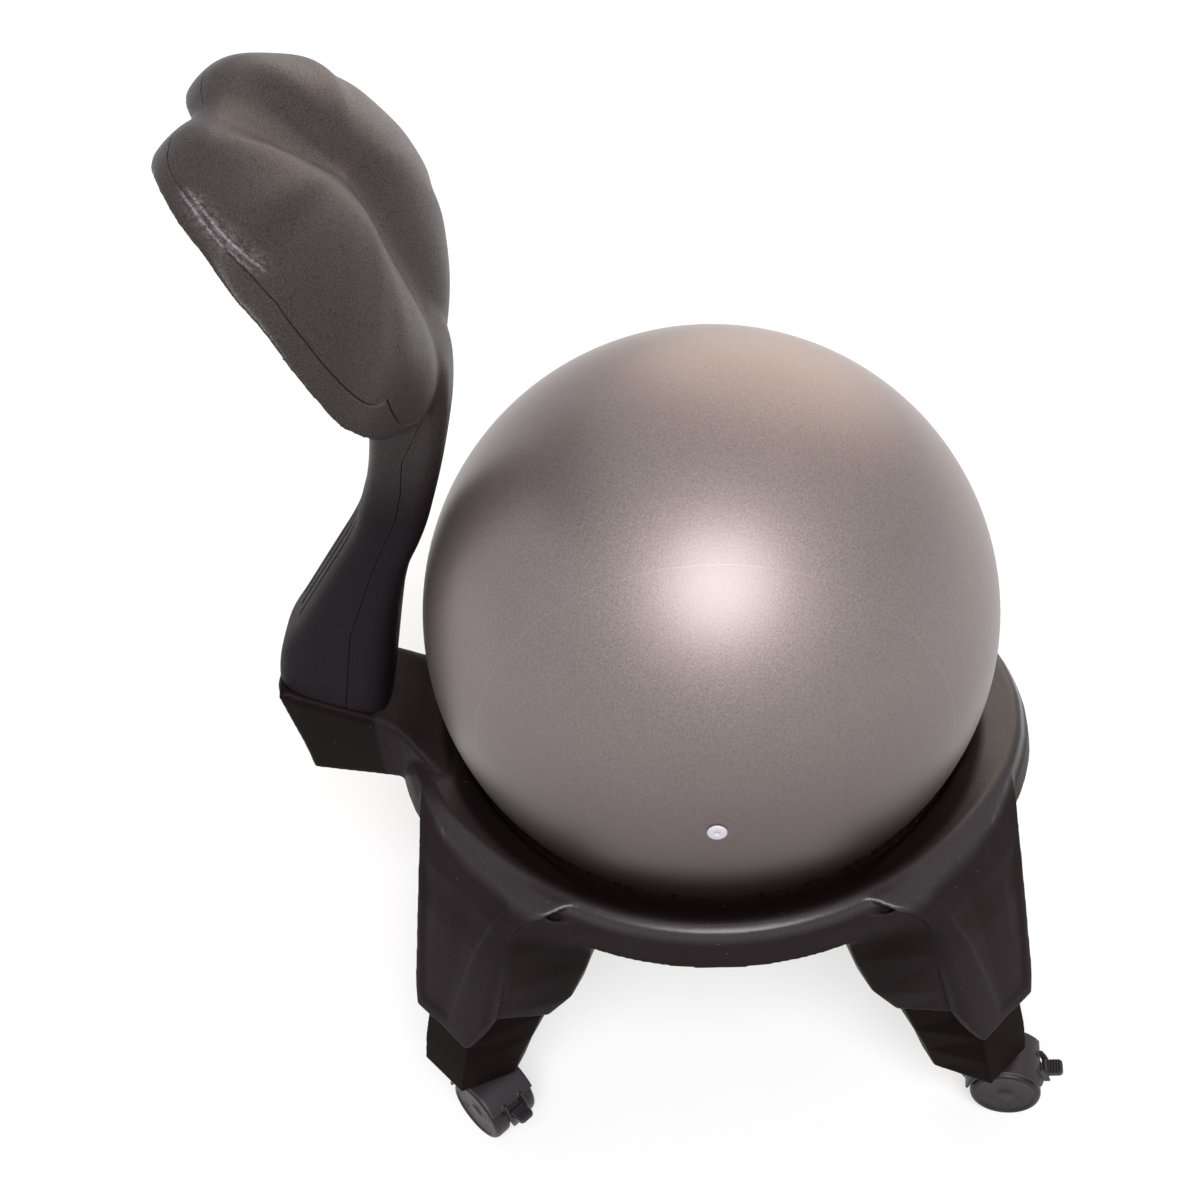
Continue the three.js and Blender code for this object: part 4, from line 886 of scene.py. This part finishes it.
def flutes():
    """The rods that cut the grooves into the stem's back and front."""
    bm = bmesh.new()
    rows = curve_through(STEM_ROWS, FLUTE_SECTIONS)
    off = FLUTE["off"]
    back_low, back_high = FLUTE["back"]
    front_low, front_high = FLUTE["front"]
    for x in (-FLUTE["spacing"], 0, FLUTE["spacing"]):
        front_end = front_high - abs(x) * FLUTE["fall"]
        on_back = [Vector((x, back + off, z)) for z, _, back, _ in rows if back_low < z < back_high]
        on_front = [Vector((x, front - off, z)) for z, front, _, _ in rows if front_low < z < front_end]
        for path in (on_back, on_front):
            rod_along(bm, path, FLUTE["radius"])
    return to_mesh("flutes", bm)


def seam_cutter(front):
    """A prism with everything in front of the seam, or behind it."""
    rim = [pad_place(0, along, forward + SEAM["forward"]) / MM for _, along, forward, _ in RIM_HALF[-3:2:-1]]
    path = [(stem_y(depth), stem_z(height)) for height, depth in SEAM_SHARES]
    path += [(place.y, place.z) for place in rim]
    path.append((path[-1][0] + SEAM["beyond"], path[-1][1] + SEAM["beyond"]))
    shift = -SHELL_GAP / 2 if front else SHELL_GAP / 2
    far = HALVES["front"] if front else HALVES["rear"]
    top = HALVES["top"]
    outline = [(y + shift, z - SEAM["down"] * shift) for y, z in path]
    outline = [(outline[0][0], 0)] + outline + [(outline[-1][0], top), (far, top), (far, 0)]
    bm = bmesh.new()
    verts = [bm.verts.new((-HALVES["across"] * MM, y * MM, z * MM)) for y, z in outline]
    made = bmesh.ops.extrude_face_region(bm, geom=[bm.faces.new(verts)])
    other_side = [v for v in made["geom"] if isinstance(v, bmesh.types.BMVert)]
    bmesh.ops.translate(bm, verts=other_side, vec=(2 * HALVES["across"] * MM, 0, 0))
    bmesh.ops.recalc_face_normals(bm, faces=bm.faces)
    return to_mesh("seam cutter", bm)


def valley_block(grow):
    """The part of the front shell that fills the valley between the lobes behind the seam."""
    bm = bmesh.new()
    sections = []
    for across in (-VALLEY_HALF - grow, VALLEY_HALF + grow):
        section = []
        for along, forward in VALLEY_SHARES:
            outward = -grow if along < VALLEY_MIDDLE else grow
            place = PAD["bottom"] + PAD["height"] * along + outward
            section.append(pad_place(across, place, PAD["low"] + PAD["bow"] * forward - grow))
        sections.append(section)
    loft(bm, sections)
    return to_mesh("valley block", bm)


def cut_to_deck(bm):
    """Cuts the foot of the back level with the tail's deck, and closes it again."""
    normal = Vector((0, -DECK["slope"], 1)).normalized()
    place = Vector((0, DECK["y"], DECK["z"])) * MM + normal * DECK["gap"] * MM
    geom = list(bm.verts) + list(bm.edges) + list(bm.faces)
    cut = bmesh.ops.bisect_plane(bm, geom=geom, plane_co=place, plane_no=normal, clear_inner=True)
    rim = [e for e in cut["geom_cut"] if isinstance(e, bmesh.types.BMEdge)]
    bmesh.ops.holes_fill(bm, edges=rim)
    bmesh.ops.recalc_face_normals(bm, faces=bm.faces)
    bmesh.ops.triangulate(bm, faces=bm.faces)


def back():
    """The two shells: the pad and the stem made one, grooved, and split along the seam."""
    bm = bmesh.new()
    pad_solid(bm)
    stem_solid(bm)
    bm = remeshed("back", to_mesh("back", bm), BACK_MESH["voxel"])
    smooth(bm, BACK_MESH["passes"])
    cut_to_deck(bm)
    whole = to_mesh("back", bm)
    grooves = helper_object("flutes", flutes())
    valley = helper_object("valley", valley_block(0))
    grown = helper_object("valley grown", valley_block(SHELL_GAP))
    front = helper_object("front half", combined("front side", seam_cutter(True), "UNION", valley))
    rear = helper_object("rear half", combined("rear side", seam_cutter(False), "DIFFERENCE", grown))
    fluted = combined("back", whole, "DIFFERENCE", grooves)
    for side, name in ((front, "backrest_front_shell"), (rear, "backrest_rear_shell")):
        mesh = combined(name, fluted, "INTERSECT", side)
        finished(name + "_piece", mesh, "back_plastic", "base", name, sharp=45)
    for helper in (grooves, valley, grown, front, rear):
        bpy.data.objects.remove(helper)


# The casters, each made once in its own frame and placed four times, in mm and degrees

# Each leg's angle, and the way in which its caster trails.
LEGS = {"rear_right": (45, 70), "rear_left": (135, 225), "front_left": (225, 262), "front_right": (315, 300)}
# The stem's distance from the chair's middle, the wheels' radius and width, the web between them, how far the
# axle trails, the hood's inner and outer radius and its hub's, and the room cut out for the wheels.
CASTER = {
    "reach": 339,
    "wheel": 32.5,
    "width": 18,
    "web": 13,
    "trail": 28,
    "hood_inner": 34.9,
    "hood_outer": 37.9,
    "hub": 9,
    "wheel_gap": 0.35,
    "tunnel": 22,
}
AXLE = Vector((CASTER["trail"], 0, CASTER["wheel"])) * MM
# Where the hood's shield and its web begin and end, as angles above the trail.
SHIELD_ARC = (36, 172)
WEB = {"inner": 2, "outer": CASTER["hood_inner"] + 1, "arc": (-14, 194)}
# The ears that hold the brake's pins: their radii and angles about the axle, and their sides.
EAR = {"inner": 35.7, "outer": 42.1, "arc": (14, 42), "near": 8.35, "far": 10.95}
# The brake's lever: where its pivot is about the axle, its size, and the radii of its barrel and its pins.
BRAKE = {"orbit": 39.1, "degrees": 24, "width": 16, "reach": 16, "thickness": 5.4, "barrel": 3, "pin": 1.6}
# How far the pins stand out of the barrel.
PIN_REACH = 2.9
# The brake's plate: how much narrower and thinner it is than the lever, its corners, its drop and its tilt.
PLATE = {"narrower": 0.4, "thinner": 1.5, "corner": 4, "drop": 0.5, "tilt": -14}
# The plate's ribs: from the pivot on, and each one past the third narrower than the last.
RIBS = {"count": 5, "first": 3.2, "spacing": 2.6, "length": 1.2, "height": 2.4, "lift": 1.5, "narrower": 1.6}


def caster_matrix(leg):
    angle, trail = (math.radians(v) for v in LEGS[leg])
    pivot = Vector((CASTER["reach"] * math.cos(angle), CASTER["reach"] * math.sin(angle), 0)) * MM
    return Matrix.Translation(pivot) @ Matrix.Rotation(trail, 4, "Z")


def sector(inner, outer, arc, low, high, steps):
    """A part of a ring about the axle, from one angle above the trail to another."""
    start, end = arc
    bm = bmesh.new()
    first = Matrix.Rotation(-math.radians(start), 4, "Y")
    corners = [(inner, low), (outer, low), (outer, high), (inner, high)]
    verts = [bm.verts.new(AXLE + first @ Vector((r * MM, y * MM, 0))) for r, y in corners]
    face = bm.faces.new(verts)
    geom = [face, *face.edges, *verts]
    bmesh.ops.spin(bm, geom=geom, cent=AXLE, axis=(0, -1, 0), angle=math.radians(end - start), steps=steps)
    bmesh.ops.recalc_face_normals(bm, faces=bm.faces)
    return bm


def disc(radius, low, high, centre, steps=64):
    """A cylinder along Y."""
    bm = bmesh.new()
    bmesh.ops.create_cone(
        bm, cap_ends=True, segments=steps, radius1=radius * MM, radius2=radius * MM, depth=(high - low) * MM
    )
    turn = Matrix.Rotation(math.pi / 2, 4, "X")
    return moved(bm, Matrix.Translation(Vector(centre) + Vector((0, (low + high) / 2 * MM, 0))) @ turn)


def joined(name, bodies):
    """One mesh with all the bodies in it."""
    bm = bmesh.new()
    for body in bodies:
        bm.from_mesh(to_mesh("part", body))
    return to_mesh(name, bm)


def neck():
    """The collar round the stem, cut free of the wheels."""
    profile = [(0, 32), (13.8, 32), (13.8, 58), (13.4, 60), (12.6, 71), (12.2, 74.2), (11.3, 75.2)]
    profile += [(6.1, 75.2), (6.1, 57.7), (0, 57.7)]
    collar = to_mesh("neck", turned(profile, 64))
    half = CASTER["web"] / 2
    far = half + CASTER["tunnel"]
    room = [disc(CASTER["hood_inner"], half, far, AXLE), disc(CASTER["hood_inner"], -far, -half, AXLE)]
    tunnels = helper_object("tunnels", joined("tunnels", room))
    mesh = combined("neck", collar, "DIFFERENCE", tunnels)
    bpy.data.objects.remove(tunnels)
    return to_bmesh(mesh)


def hood():
    """The hood: a shield over both wheels, a web between them, a hub, a neck and two ears for the brake."""
    half = CASTER["web"] / 2
    outer = half + CASTER["width"]
    bodies = [
        sector(CASTER["hood_inner"], CASTER["hood_outer"], SHIELD_ARC, -outer, outer, 60),
        sector(WEB["inner"], WEB["outer"], WEB["arc"], -half, half, 60),
        disc(CASTER["hub"], -half, half, AXLE),
        neck(),
    ]
    for side in (-1, 1):
        low, high = sorted((side * EAR["near"], side * EAR["far"]))
        bodies.append(sector(EAR["inner"], EAR["outer"], EAR["arc"], low, high, 16))
    return fused("hood", joined("hood", bodies), voxel=0.75, passes=4, triangles=26000)


def wheel(side):
    """A wheel with a rounded tread and a dished outer face, on the +Y side for 1 and the -Y side for -1."""
    profile = [(4.35, 0), (29.1, 0), (29.9, 0.25), (31.8, 1.6), (32.35, 2.6), (32.5, 4)]
    profile += [(32.5, 12.4), (32.35, 13.8), (31.9, 15.2), (31.1, 16.6), (30, 17.5), (28.9, 17.9), (27.9, 18)]
    profile += [(27.1, 17.8), (26.5, 17.2), (25.9, 16.7), (24, 16.45), (12, 16.2), (8.2, 16.2), (7.4, 16.4)]
    profile += [(6.8, 17), (6, 17.3), (3, 17.45), (0, 17.5), (0, 13), (4.35, 13), (4.35, 0)]
    turn = Matrix.Rotation(-side * math.pi / 2, 4, "X")
    offset = Vector((0, side * (CASTER["web"] / 2 + CASTER["wheel_gap"]) * MM, 0))
    return to_mesh("wheel", moved(turned(profile, 72), Matrix.Translation(AXLE + offset) @ turn))


def block(length, width, height):
    """A block about the origin, as a bmesh."""
    bm = bmesh.new()
    bmesh.ops.create_cube(bm, size=MM)
    return moved(bm, Matrix.Diagonal((length, width, height, 1)))


def is_outer_upright(edge):
    """Whether an edge of a block runs up and down at its far end."""
    first, second = (vert.co for vert in edge.verts)
    return abs((first - second).normalized().z) > 0.9 and first.x > 0


def lever():
    """The brake's tab: a plate with raised ribs across it, on a barrel with two pins."""
    turn = math.radians(BRAKE["degrees"])
    pivot = AXLE + Vector((math.cos(turn), 0, math.sin(turn))) * BRAKE["orbit"] * MM
    tilt = Matrix.Translation(pivot) @ Matrix.Rotation(math.radians(PLATE["tilt"]), 4, "Y")
    half = BRAKE["width"] / 2
    bodies = [
        disc(BRAKE["barrel"], -half, half, pivot, 40),
        disc(BRAKE["pin"], -half - PIN_REACH, half + PIN_REACH, pivot, 24),
    ]
    plate = block(BRAKE["reach"], BRAKE["width"] - PLATE["narrower"], BRAKE["thickness"] - PLATE["thinner"])
    corners = [edge for edge in plate.edges if is_outer_upright(edge)]
    bmesh.ops.bevel(
        plate,
        geom=corners,
        offset=PLATE["corner"] * MM,
        segments=6,
        affect="EDGES",
        profile=0.5,
        material=-1,
        offset_type="OFFSET",
    )
    bodies.append(moved(plate, tilt @ Matrix.Translation((BRAKE["reach"] / 2 * MM, 0, -PLATE["drop"] * MM))))
    for i in range(RIBS["count"]):
        width = BRAKE["width"] - RIBS["narrower"] - max(0, i - 2) * RIBS["narrower"]
        place = Matrix.Translation(((RIBS["first"] + RIBS["spacing"] * i) * MM, 0, RIBS["lift"] * MM))
        bodies.append(moved(block(RIBS["length"], width, RIBS["height"]), tilt @ place))
    return fused("lever", joined("lever", bodies), voxel=0.32, passes=3, triangles=16000)


def casters():
    """Each caster's hood, wheels and brake lever, with the body and the material slot of each."""
    parts = (
        ("caster_hood", "caster", "caster_plastic", hood()),
        ("caster_wheel_a", "wheel_a", "wheel_plastic", wheel(1)),
        ("caster_wheel_b", "wheel_b", "wheel_plastic", wheel(-1)),
        ("brake_lever", "brake", "caster_plastic", lever()),
    )
    for leg in LEGS:
        place = caster_matrix(leg)
        for kind, body, slot_name, mesh in parts:
            copy = mesh.copy()
            copy.transform(place)
            name = f"{kind}_{leg}"
            finished(name + "_piece", copy, slot_name, f"{body}_{leg}", name)


# The leg extensions from their solids, and the solids that are shown as they are


def leg_extensions():
    for leg in LEGS:
        node = f"leg_extension_{leg}"
        mesh = fused(node, to_mesh(node, merged_copy(node)), voxel=1.3, passes=5, triangles=60000)
        finished(node + "_piece", mesh, "leg_plastic", "base", node, sharp=60)


def shown_solids():
    """Gives every node that no piece replaces the finish of its slot in the record."""
    slots = {entry["node"]: entry["material_slot"] for entry in frame["record"]["subparts"]}
    for name, obj in nodes.items():
        if obj.hide_render:
            continue
        if not obj.material_slots:
            obj.data.materials.append(None)
        for holder in obj.material_slots:
            holder.material = finishes[slots[name]]


camera()
studio()
ball()
valve()
base()
back()
casters()
leg_extensions()
shown_solids()
